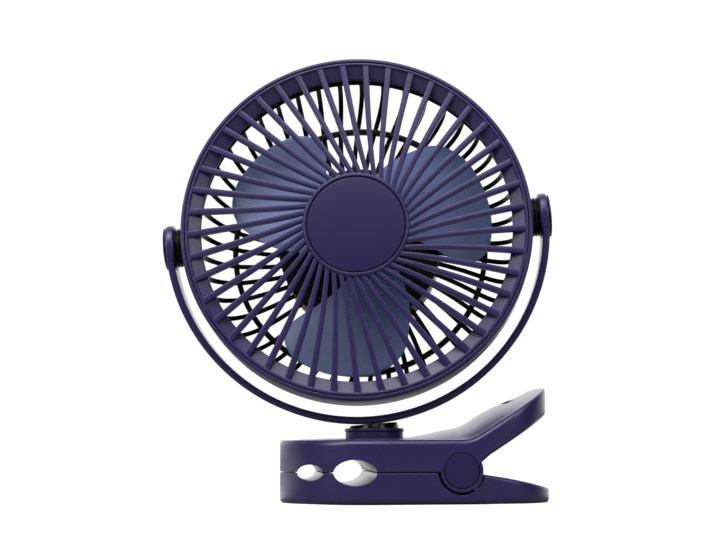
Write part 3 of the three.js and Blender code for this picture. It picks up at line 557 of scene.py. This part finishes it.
def hinge_arch(radius, floor, y0, y1):
    """An arch over the hinge that stands on the given floor."""
    outline = [(hinge_along - radius, floor), (hinge_along + radius, floor)]
    return prism(outline + arc(hinge_along, hinge_up, radius, 0, math.pi, 32), y0, y1)


def foot_outline(shrink):
    r = clip_half_width - foot_side
    x0, x1 = -nose_length + foot_end + r, handle_reach - foot_end - r
    return (arc(x1, 0, r - shrink, -math.pi / 2, math.pi / 2, 40)
            + arc(x0, 0, r - shrink, math.pi / 2, 3 * math.pi / 2, 40))


def notch_tools():
    return [prism(notch_outline(*n), -through, through) for n in notches]


def grip_pocket(z0, z1):
    return box(grip_start, grip_end, -grip_half, grip_half, z0, z1)


def spring_pocket(x1, z0, z1):
    return box(hinge_along - spring_reach, x1, -spring_half, spring_half, z0, z1)


def lower_jaw():
    """The moulded base: nose, handle, hinge lugs and the foot's recess."""
    root = body_end + 1
    root_height = split_height - handle_root_drop

    def top_at(x):
        if x <= root:
            return jaw_high
        t = (x - root) / (handle_reach - root)
        return mix(root_height, handle_tip_height, t) + handle_crown * math.sin(math.pi * t)

    between = [3, 10, 20, hinge_along - knuckle_recess - 1, hinge_along, root, root + 0.1, 48]
    rings = [jaw_section(x, half, pad_proud, top_at(x), 0,
                         handle_edge if x > root else split_edge, base_edge, handle_reach)
             for x, half in stations(handle_reach, between)]
    jaw = make("clip_base_shell", skin(rings))
    cut(jaw, *notch_tools(), hinge_bar(knuckle_recess, -through, through))
    for side in (1, -1):
        a, b = sorted((side * lug_in, side * lug_out))
        fuse(jaw, hinge_arch(lug_radius, lug_floor, a, b))
    cut(jaw, hinge_bar(pin_radius + seat_gap, -through, through, 32),
        spring_pocket(hinge_along, hinge_up - spring_room, split_height + 1),
        grip_pocket(split_height - grip_deep, split_height + 2),
        plan(foot_outline(0), -1, foot_deep))
    shade(jaw)
    return jaw


def upper_jaw():
    """The moulded lever: nose, knuckles, the hanging slot and the seat of the collar."""
    def low_at(x):
        if x < body_end:
            return jaw_low
        t = (x - body_end) / heel_fillet
        if t >= 1:
            return lever_under(x)
        at_root = lever_under(body_end + heel_fillet) - heel_fillet * heel_share
        return mix(at_root, lever_under(x), math.sqrt(max(0, 1 - (1 - t) ** 2)))

    between = [0, 6, 12, 18, 24, 28, 31, 54]
    bend = [lever_start + 0.6 * k for k in range(1, 14)]
    heel = [body_end + 0.05 + heel_fillet * (k / 8) ** 1.6 for k in range(9)]
    rings = [jaw_section(x, half, low_at(x), lever_edge(x), crown_at(x), jaw_edge,
                         handle_edge if x > body_end else split_edge, lever_look)
             for x, half in stations(lever_look, between + bend + [body_end - 0.05] + heel)]
    jaw = make("clip_lever_shell", skin(rings))
    fuse(jaw, hinge_bar(knuckle_radius, -hinge_face, hinge_face))
    cut(jaw, *notch_tools(), hinge_arch(lug_radius + lug_room, 0, -knuckle_in, knuckle_in),
        spring_pocket(hinge_along - 0.5, split_height - 1, hinge_up + spring_room),
        hinge_bar(pin_radius + seat_gap, -through, through, 32))
    for side in (1, -1):
        a, b = sorted((side * (clip_half_width - hinge_cap_thick - seat_gap), side * through))
        cut(jaw, hinge_bar(hinge_cap_radius + seat_gap, a, b))
    top = cup_seat - stem_floor

    def post(radius, low, high, segments=64):
        return placed(lathe([(0, low), (radius, low), (radius, high), (0, high)], segments),
                      turn_up)

    cut(jaw, post(cup_radius + cup_flare + cup_room, cup_seat, sky, 96),
        post(stem_hole, top - 1, sky), post(washer_hole, top - washer_deep, top),
        post(screw_hole, 0, top, 24))
    r, half = hang_slot_wide / 2, hang_slot_long / 2 - hang_slot_wide / 2
    slot = (arc(hang_slot_place, half, r, 0, math.pi, 18)
            + arc(hang_slot_place, -half, r, math.pi, 2 * math.pi, 18))
    cut(jaw, plan(slot, 20, sky), grip_pocket(split_height - 2, split_height + grip_deep))
    shade(jaw)
    return jaw


stand(lower_jaw(), "clip_base", purple, "purple_shell", "lower_jaw")
stand(upper_jaw(), "clip_lever", purple, "purple_shell", "upper_jaw")
for name, side in (("hinge_cap_front", -1), ("hinge_cap_rear", 1)):
    back = clip_half_width - hinge_cap_thick
    profile = soften([(0, back), (hinge_cap_radius, back), (hinge_cap_radius, hinge_face),
                      (hinge_cap_radius - hinge_cap_edge, hinge_face), (0, hinge_face)], 0.35)
    part = placed(lathe(profile), Matrix.Translation((hinge_along, 0, hinge_up))
                  @ Matrix.Rotation(0 if side > 0 else math.pi, 4, "Z"))
    stand(make(name + "_disc", part), "clip_lever", purple_disc, "purple_shell", name)
stand(make("foot_sole", plan(foot_outline(seat_gap), 0, foot_thick), sharp=40), "clip_base",
      rubber, "rubber_pad", "foot_pad")

# ---------- neck ----------

cup_low = cup_seat + seat_gap
socket = ball_radius + seat_gap
socket_lip = math.sqrt(socket ** 2 - (cup_top - ball_up) ** 2)
cup = soften([(cup_bore, stem_low), (stem_radius, stem_low), (stem_radius, cup_low),
              (cup_radius + cup_taper, cup_low), (cup_radius, cup_top - cup_lip),
              (cup_radius + cup_flare, cup_top - cup_lip + cup_lip_edge),
              (cup_radius + cup_flare, cup_top), (socket_lip, cup_top), (socket, ball_up),
              (socket, ball_up - socket_deep), (cup_bore, ball_up - socket_deep)], 0.3)
stand(make("neck_collar", placed(lathe(cup), at_swivel @ turn_up)), "neck", purple,
      "purple_shell", "neck_cup")

ball_crown = yoke_lift - seat_gap
ball = [(0, -ball_floor), (ball_floor_radius, -ball_floor)]
ball += [(math.sqrt(ball_radius ** 2 - z * z), z)
         for z in [ball_step * (k - 0.5) for k in range(7)] + [ball_crown]]
ball += [(0, ball_crown)]
stand(make("neck_ball", placed(lathe(ball), at_lean @ turn_up), sharp=40), "yoke_arm",
      black_ball, "black_shell", "ball_stud")


pad_face = yoke_inner - yoke_pad_deep


def yoke():
    """The half ring with rounded edges, and its two pivot pads."""
    rings = []
    edge, half, thick = yoke_edge, yoke_wide / 2, yoke_thick
    section = []
    for y, up, start in ((half - edge, -edge, 0), (-half + edge, -edge, 90),
                         (-half + edge, -thick + edge, 180), (half - edge, -thick + edge, 270)):
        for i in range(4):
            a = rad(start + 30 * i)
            section.append((y + edge * math.cos(a), yoke_radius + up + edge * math.sin(a)))
    for i in range(yoke_steps + 1):
        a = math.pi + math.pi * i / yoke_steps
        rings.append([(r * math.cos(a), y, r * math.sin(a)) for y, r in section])
    parts = [skin(rings)]
    for side in (1, -1):
        pad = soften([(pivot_bore, pad_face), (yoke_pad_radius, pad_face),
                      (yoke_pad_radius, yoke_radius), (pivot_bore, yoke_radius)], 1.4, 5)
        parts.append(placed(lathe(pad, 64), turn_side[side]))
    return placed(merged(*parts), at_lean @ Matrix.Translation((0, 0, pivot_up)))


stand(make("yoke_bow", yoke()), "yoke_arm", purple, "purple_shell", "yoke")
at_pivot = at_lean @ Matrix.Translation((0, 0, pivot_up))
for name, side in (("yoke_cap_left", -1), ("yoke_cap_right", 1)):
    low = yoke_radius + seat_gap
    cap = soften([(0, low), (yoke_cap_radius, low), (yoke_cap_radius, low + yoke_cap_rim),
                  (yoke_cap_radius * 0.7, low + yoke_cap_dome * 0.8), (0, low + yoke_cap_dome)],
                 0.5)
    stand(make(name + "_dome", placed(lathe(cap), at_pivot @ turn_side[side])), "yoke_arm",
          purple, "purple_shell", name)

# ---------- head ----------

ring_inner = guard_radius - ring_wall
flange_inner, flange_front = ring_inner - ring_flange, ring_depth - ring_flange_thick
band = soften([(ring_inner, 0), (guard_radius - ring_chamfer, 0), (guard_radius, ring_chamfer),
               (guard_radius, ring_depth), (flange_inner, ring_depth),
               (flange_inner, flange_front), (ring_inner, flange_front)], 0.25)
boss_low, boss_high = ring_inner - boss_deep, guard_radius - boss_sunk
bosses = [placed(lathe([(boss_bore, boss_low), (boss_radius, boss_low),
                        (boss_radius, boss_high), (boss_bore, boss_high)], 48),
                 Matrix.Translation((0, rim_to_pivot, 0)) @ turn_side[side]) for side in (1, -1)]
stand(make("guard_band", placed(merged(lathe(band, 180), *bosses), at_rim)), "head", purple,
      "purple_shell", "guard_ring")


def rounded_section(round_share=0.15, steps=3):
    """A rib's section as shares of its width and depth, with round edges."""
    points = []
    flat = 0.5 - round_share
    for across, inward, start in ((1, 1, 0), (-1, 1, 90), (-1, -1, 180), (1, -1, 270)):
        for i in range(steps + 1):
            a = rad(start + 90 * i / steps)
            points.append((across * flat + round_share * math.cos(a),
                           inward * flat + round_share * math.sin(a)))
    return points


def rib(path, deep, section):
    """A rib along [radius, depth, turn, width] points about the head's axis."""
    points = [Vector((r * math.cos(a), d, r * math.sin(a))) for r, d, a, _ in path]
    rings = []
    for i, p in enumerate(points):
        run = (points[min(i + 1, len(points) - 1)] - points[max(i - 1, 0)]).normalized()
        side = Vector((-p.z, 0, p.x)).normalized()
        side = (side - run * side.dot(run)).normalized()
        inward = run.cross(side).normalized()
        rings.append([tuple(p + side * (s * path[i][3]) + inward * (t * deep))
                      for s, t in section])
    return skin(rings)


duct_inner = ledge_inner + duct_step


def front_guard():
    """The rim with its sunk ledge and duct, the hub ring and the swirled ribs between them."""
    ledge_back = lip_step + ledge_slope
    ledge_rear = ledge_back + ledge_thick
    rim = soften([(lip_inner, 0), (lip_outer - 0.3, 0), (lip_outer, lip_chamfer),
                  (lip_outer, skirt_deep), (lip_outer - skirt_wall, skirt_deep),
                  (duct_inner + duct_wall, ledge_back + 2),
                  (duct_inner + duct_wall, duct_depth), (duct_inner, duct_depth),
                  (duct_inner, ledge_rear), (ledge_inner, ledge_rear),
                  (ledge_inner, ledge_back), (lip_inner, lip_step)], 0.35)
    face = -hub_forward
    seat = face + disc_dome + hub_seat
    wall = hub_radius - hub_ring_wall
    hub = soften([(0, seat), (wall, seat), (wall, face), (hub_radius - hub_chamfer, face),
                  (hub_radius, face + hub_chamfer), (hub_radius, face + hub_ring_depth),
                  (wall, face + hub_ring_depth), (wall, seat + hub_plate),
                  (0, seat + hub_plate)], 0.3)
    parts = [lathe(rim, 225), lathe(hub, 144)]
    start, end = lip_inner + rib_start_in, hub_radius - rib_end_in

    def swirl_at(r):
        here, outside = (end / r) ** swirl_power, (end / start) ** swirl_power
        return rad(swirl_front) * (here - outside) / (1 - outside)

    section = rounded_section()
    for k in range(rib_count):
        path = []
        for i in range(rib_steps + 1):
            r = mix(start, end, (i / rib_steps) ** rib_spread)
            out = (r - end) / (start - end)
            d = rib_deep / 2 + rib_raise - (hub_forward - rib_drop) * (1 - out ** rib_bow)
            turn = 2 * math.pi * k / rib_count + rad(rib_first) - swirl_at(r)
            path.append((r, d, turn, mix(rib_wide_hub, rib_wide_rim, out)))
        parts.append(rib(path, rib_deep, section))
    return merged(*parts)


stand(make("front_grille", placed(front_guard(), at_rim)), "head", purple, "purple_shell",
      "front_guard")

# Painted shade: a matt black strip, which no solid has, sits behind the ledge and stands for the
# shade on the duct's inner wall there.
duct_face = duct_inner - shade_strip_proud
shade_strip_outline = soften([(duct_face - shade_strip_thick, shade_strip_front), (duct_face, shade_strip_front),
                (duct_face, shade_strip_back), (duct_face - shade_strip_thick, shade_strip_back)], 0.15)
shade_strip_piece = make("painted_shade_strip", placed(lathe(shade_strip_outline, 180), at_rim))
wear(shade_strip_piece, painted_shade_black)
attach(shade_strip_piece, "head")

disc_edge = hub_radius - hub_ring_wall - seat_gap
disc_back = -hub_forward + disc_dome + disc_thick
disc = soften([(0, disc_back), (disc_edge, disc_back), (disc_edge, -hub_forward + disc_low),
               (disc_edge - disc_bevel, -hub_forward + disc_low - disc_bevel),
               (disc_edge * 0.6, -hub_forward - disc_shoulder),
               (0, -hub_forward - disc_crown)], 0.6, 4)
stand(make("hub_cover", placed(lathe(disc, 144), at_rim)), "head", purple_disc, "purple_shell",
      "hub_disc")


def spline(points, steps):
    """A smooth run through points of any length, with the given steps between them."""
    out = []
    n = len(points)
    for i in range(n - 1):
        p0, p1, p2, p3 = (points[max(0, i - 1)], points[i], points[i + 1],
                          points[min(n - 1, i + 2)])
        for k in range(steps):
            t = k / steps
            out.append(tuple(
                0.5 * (2 * b + (c - a) * t + (2 * a - 5 * b + 4 * c - d) * t * t
                       + (3 * b - a - 3 * c + d) * t ** 3)
                for a, b, c, d in zip(p0, p1, p2, p3)))
    out.append(tuple(points[-1]))
    return out


def rear_guard():
    """The bowl: a seat ring, a hoop, the motor tub and curved ribs from the one to the other."""
    low = ring_depth + seat_gap

    def hoop(inner, wide, front, back):
        return lathe(soften([(inner, front), (inner + wide, front), (inner + wide, back),
                             (inner, back)], 0.4), 180)

    tub_inner = tub_radius - tub_wall
    tub = soften([(tub_bore, tub_front), (tub_radius, tub_front), (tub_radius, tub_back),
                  (tub_inner, tub_back), (tub_inner, tub_front + tub_wall),
                  (tub_bore, tub_front + tub_wall)], 0.6)
    parts = [hoop(lip_outer - seat_hoop_wide - seat_hoop_in, seat_hoop_wide, low,
                  low + seat_hoop_deep),
             hoop(bowl_ring_radius - bowl_ring_wide / 2, bowl_ring_wide,
                  bowl_depth - hoop_front, bowl_depth - hoop_back), lathe(tub, 144)]
    start_r, start_d = ring_inner - bowl_rib_in, low + bowl_rib_deep
    profile = []
    for i in range(bowl_steps + 1):
        a = math.pi / 2 * i / bowl_steps * bowl_bend
        profile.append((mix(bowl_ring_radius - bowl_in, start_r, math.cos(a) ** bowl_power),
                        mix(start_d, bowl_depth - 1, math.sin(a) ** bowl_power)))
    end_r = tub_radius - tub_wall * 0.5
    profile += [(mix(profile[-1][0], end_r, t), mix(profile[-1][1], bowl_depth, smooth(t)))
                for t in (0.33, 0.66, 1)]
    width = rear_rib_wide + rear_rib_extra
    keel = [(-0.5, -0.5), (-0.42, -0.5), (0.42, -0.5), (0.5, -0.5), (0.42, -0.3), (0.12, 0.42),
            (0, 0.5), (-0.12, 0.42), (-0.42, -0.3)]
    for k in range(rib_count):
        turn = 2 * math.pi * (k + 0.5) / rib_count
        path = [(r, d, turn + rad(swirl_rear) * (start_r - r) / (start_r - end_r), width)
                for r, d in profile]
        parts.append(rib(path, rear_rib_deep, keel))
    return merged(*parts)


stand(make("rear_cage", placed(rear_guard(), at_rim)), "head", black, "black_shell",
      "rear_guard")
for side_name, side in (("left", -1), ("right", 1)):
    low, high = guard_radius + seat_gap, pad_face - seat_gap
    third = (high - low) / 3
    groove = spacer_radius - spacer_groove
    spacer = soften([(pivot_bore, low), (spacer_radius, low), (spacer_radius, low + third * 0.6),
                     (groove, low + third), (spacer_radius, low + third * 1.4),
                     (spacer_radius, low + third * 1.9), (groove, low + third * 2.3),
                     (spacer_radius, high - spacer_edge), (spacer_radius, high),
                     (pivot_bore, high)], 0.2)
    stand(make(f"pivot_washer_{side_name}", placed(lathe(spacer), at_head @ turn_side[side])),
          "head", black, "black_shell", f"pivot_spacer_{side_name}")

# ---------- impeller ----------

# A blade's two edges, as shares of the way to the tip and degrees round the hub.
leading = [(0, -12), (0.15, -19), (0.3, -26.5), (0.45, -32), (0.6, -36), (0.73, -37),
           (0.85, -34.5), (0.94, -28.5), (0.98, -20), (1, -9)]
trailing = [(0, 62), (0.15, 54), (0.3, 47), (0.45, 41.5), (0.585, 36), (0.71, 31),
            (0.82, 27), (0.91, 21.5), (0.965, 15.5), (1, 7)]
blade_root = rotor_radius - blade_sunk


def blade(turn):
    """A broad pitched blade, thinned towards its edges."""
    front_edge, back_edge = spline(leading, 4), spline(trailing, 4)
    rings = []
    last = len(front_edge) - 1
    for i, (lead, trail) in enumerate(zip(front_edge, back_edge)):
        rows = []
        for offset in (-0.5, 0.5):
            line = []
            for k in range(blade_columns + 1):
                t = k / blade_columns
                share, a = mix(lead[0], trail[0], t), rad(mix(lead[1], trail[1], t))
                r = mix(blade_root, tip_radius + tip_further, share)
                rim = min(1, k / 2, (blade_columns - k) / 2, (last - i) / 2)
                thin = mix(blade_thin, 1, math.sqrt(max(0, rim)))
                d = (blade_middle + blade_deeper - blade_pitch * a
                     + offset * blade_thick * thin)
                line.append((r * math.cos(a + turn), d, r * math.sin(a + turn)))
            rows.append(line)
        rings.append(rows[0] + rows[1][::-1])
    return skin(rings, True)


def impeller():
    """A domed hub, open at the back, with the blades round it."""
    bore, recess, inner = shaft_radius + seat_gap, nut_radius + nut_room, rotor_radius - rotor_wall
    plate_back, boss_back = rotor_front + rotor_plate, rotor_front + rotor_boss_deep
    rotor = soften([(bore, rotor_front + nut_recess), (recess, rotor_front + nut_recess),
                    (recess, rotor_front), (rotor_radius - rotor_dome, rotor_front),
                    (rotor_radius - rotor_bevel, rotor_front + rotor_bevel_back),
                    (rotor_radius, rotor_front + rotor_dome), (rotor_radius, rotor_back),
                    (inner, rotor_back), (inner, plate_back), (rotor_boss, plate_back),
                    (rotor_boss, boss_back), (bore, boss_back)], 0.5)
    parts = [lathe(rotor)]
    for k in range(blade_count):
        parts.append(blade(rad(blade_first + 360 * k / blade_count)))
    return merged(*parts)


stand(make("fan_wheel", placed(impeller(), at_rim), sharp=38), "rotor", blue, "blade_blue",
      "impeller")

# ---------- small pieces keep their CAD shape ----------

fine_nodes = {
    "lower_grip_pad": rubber, "upper_grip_pad": rubber, "rear_cover": purple,
    "power_button": black, "status_light": lens, "motor": steel, "impeller_nut": steel,
    "cover_screw_1": steel, "cover_screw_2": steel, "cover_screw_3": steel,
}
slot_of = {s["node"]: s["material_slot"] for s in frame["record"]["subparts"]}
for node, material in fine_nodes.items():
    stand(refined(node), frame["nodes"][node]["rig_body"], material, slot_of[node], node)
by_slot = {"purple_shell": purple, "black_shell": black, "blade_blue": blue,
           "rubber_pad": rubber, "steel": steel, "cell_wrap": wrap, "board_green": board,
           "light_lens": lens}
for node, obj in frame["nodes"].items():
    for i in range(len(obj.material_slots)):
        obj.material_slots[i].material = by_slot[slot_of[node]]

# ---------- stage, light and camera ----------

# Painted reflection: reflected rays alone see a patch of the floor glow, from the near to the far
# distance behind the fan's middle, at full strength up to the fade distance.
floor_half, floor_grey = 6, 0.3
reflection_glow_near, reflection_glow_fade, reflection_glow_far, reflection_glow_most = 0.02, 0.1, 0.22, 1.4
room_dim, room_bright, room_front, room_back, sheet_strength = 0.04, 1.1, 0.12, 0.8, 1.05


def math_of(tree, operation, a, b):
    """A Math node's result, fed by numbers or by sockets."""
    node = tree.nodes.new("ShaderNodeMath")
    node.operation = operation
    for socket, value in zip(node.inputs, (a, b)):
        if isinstance(value, (int, float)):
            socket.default_value = value
        else:
            tree.links.new(value, socket)
    return node.outputs["Value"]


def floor_finish():
    """A grey floor that takes the shadow. The camera sees it white, and reflected rays see a
    painted reflection: a glowing patch behind the fan.
    """
    material = bpy.data.materials.new("floor")
    tree, nodes, links = nodes_of(material)
    out = nodes.new("ShaderNodeOutputMaterial")
    shader = nodes.new("ShaderNodeBsdfPrincipled")
    shader.inputs["Base Color"].default_value = (floor_grey, floor_grey, floor_grey, 1)
    shader.inputs["Roughness"].default_value = 0.9
    shader.inputs["Specular IOR Level"].default_value = 0.1
    glow = nodes.new("ShaderNodeEmission")
    ray = nodes.new("ShaderNodeLightPath")
    coords = nodes.new("ShaderNodeTexCoord")
    along = nodes.new("ShaderNodeSeparateXYZ")
    fade = nodes.new("ShaderNodeMapRange")
    fade.inputs["From Min"].default_value = reflection_glow_far
    fade.inputs["From Max"].default_value = reflection_glow_fade
    fade.inputs["To Max"].default_value = reflection_glow_most
    both = nodes.new("ShaderNodeAddShader")
    links.new(coords.outputs["Object"], along.inputs["Vector"])
    links.new(along.outputs["Y"], fade.inputs["Value"])
    behind = math_of(tree, "GREATER_THAN", along.outputs["Y"], reflection_glow_near)
    patch = math_of(tree, "MULTIPLY", fade.outputs["Result"], behind)
    # Painted reflection: the patch glows for reflected rays only.
    painted_reflection_strength = math_of(tree, "MULTIPLY", ray.outputs["Is Glossy Ray"], patch)
    strength = math_of(tree, "ADD", ray.outputs["Is Camera Ray"], painted_reflection_strength)
    links.new(strength, glow.inputs["Strength"])
    links.new(shader.outputs["BSDF"], both.inputs[0])
    links.new(glow.outputs["Emission"], both.inputs[1])
    links.new(both.outputs["Shader"], out.inputs["Surface"])
    return material


def studio_world():
    """A room that is bright behind the fan and dim in front. The camera sees it white, and
    reflected rays see it twice as bright as the light it casts: a painted reflection.
    """
    world = bpy.data.worlds.new("studio")
    world.use_nodes = True
    tree = world.node_tree
    tree.nodes.clear()
    nodes, links = tree.nodes, tree.links
    out = nodes.new("ShaderNodeOutputWorld")
    room = nodes.new("ShaderNodeBackground")
    sheet = nodes.new("ShaderNodeBackground")
    pick = nodes.new("ShaderNodeMixShader")
    ray = nodes.new("ShaderNodeLightPath")
    coords = nodes.new("ShaderNodeTexCoord")
    split = nodes.new("ShaderNodeSeparateXYZ")
    ramp = nodes.new("ShaderNodeMapRange")
    ramp.inputs["From Min"].default_value = room_front
    ramp.inputs["From Max"].default_value = room_back
    ramp.inputs["To Min"].default_value = room_dim
    ramp.inputs["To Max"].default_value = room_bright
    sheet.inputs["Color"].default_value = (1, 1, 1, 1)
    sheet.inputs["Strength"].default_value = sheet_strength
    links.new(coords.outputs["Generated"], split.inputs["Vector"])
    links.new(split.outputs["Y"], ramp.inputs["Value"])
    # Painted reflection: reflected rays see the room at twice its strength.
    painted_reflection_boost = math_of(tree, "ADD", ray.outputs["Is Glossy Ray"], 1)
    links.new(math_of(tree, "MULTIPLY", ramp.outputs["Result"], painted_reflection_boost), room.inputs["Strength"])
    links.new(ray.outputs["Is Camera Ray"], pick.inputs["Fac"])
    links.new(room.outputs["Background"], pick.inputs[1])
    links.new(sheet.outputs["Background"], pick.inputs[2])
    links.new(pick.outputs["Shader"], out.inputs["Surface"])
    return world


mesh = bpy.data.meshes.new("floor")
mesh.from_pydata([(x * floor_half, y * floor_half, 0)
                  for x, y in ((-1, -1), (1, -1), (1, 1), (-1, 1))], [], [(0, 1, 2, 3)])
floor = bpy.data.objects.new("floor", mesh)
bpy.context.scene.collection.objects.link(floor)
floor.data.materials.append(floor_finish())
bpy.context.scene.world = studio_world()


def softbox(name, place, size, power):
    """A rectangular lamp at a place, aimed at the fan's middle."""
    light = bpy.data.lights.new(name, "AREA")
    light.shape = "RECTANGLE"
    light.size, light.size_y = size
    light.energy = power
    obj = bpy.data.objects.new(name, light)
    bpy.context.scene.collection.objects.link(obj)
    obj.location = place
    obj.rotation_euler = (fan_middle - Vector(place)).to_track_quat("-Z", "Y").to_euler()


fan_middle = Vector((0, 0, 0.11))
softbox("top", (-0.1, -0.35, 1.0), (0.9, 0.6), 7)
softbox("front", (-0.35, -0.6, 1.05), (0.6, 0.4), 5)
softbox("blade_key", (0.0, -0.75, 0.66), (0.4, 0.14), 0.8)
softbox("left", (-0.73, -0.61, 0.6), (0.3, 0.6), 5)
softbox("right", (0.55, -0.78, 0.5), (0.25, 0.5), 2.4)

# The photo's camera, fitted to the outlines of the ring, the yoke, the collar and the clip.
camera_place, camera_lens = (-0.0666, -0.68185, 0.02757), 75.40
pan, pitch, roll = rad(4.984), rad(6.508), rad(-0.215)
camera_data = bpy.data.cameras.new("camera")
camera_data.sensor_width = 36
camera_data.lens = camera_lens
camera_data.clip_start = 0.01
camera_data.dof.use_dof = False
camera = bpy.data.objects.new("camera", camera_data)
bpy.context.scene.collection.objects.link(camera)
forward = Vector((math.sin(pan) * math.cos(pitch), math.cos(pan) * math.cos(pitch),
                  math.sin(pitch)))
right = Vector((math.cos(pan), -math.sin(pan), 0))
up = right.cross(forward)
right, up = (right * math.cos(roll) + up * math.sin(roll),
             up * math.cos(roll) - right * math.sin(roll))
turn = Matrix((right, up, -forward)).transposed().to_4x4()
camera.matrix_world = Matrix.Translation(camera_place) @ turn
bpy.context.scene.camera = camera
bpy.context.scene.view_settings.view_transform = "Standard"
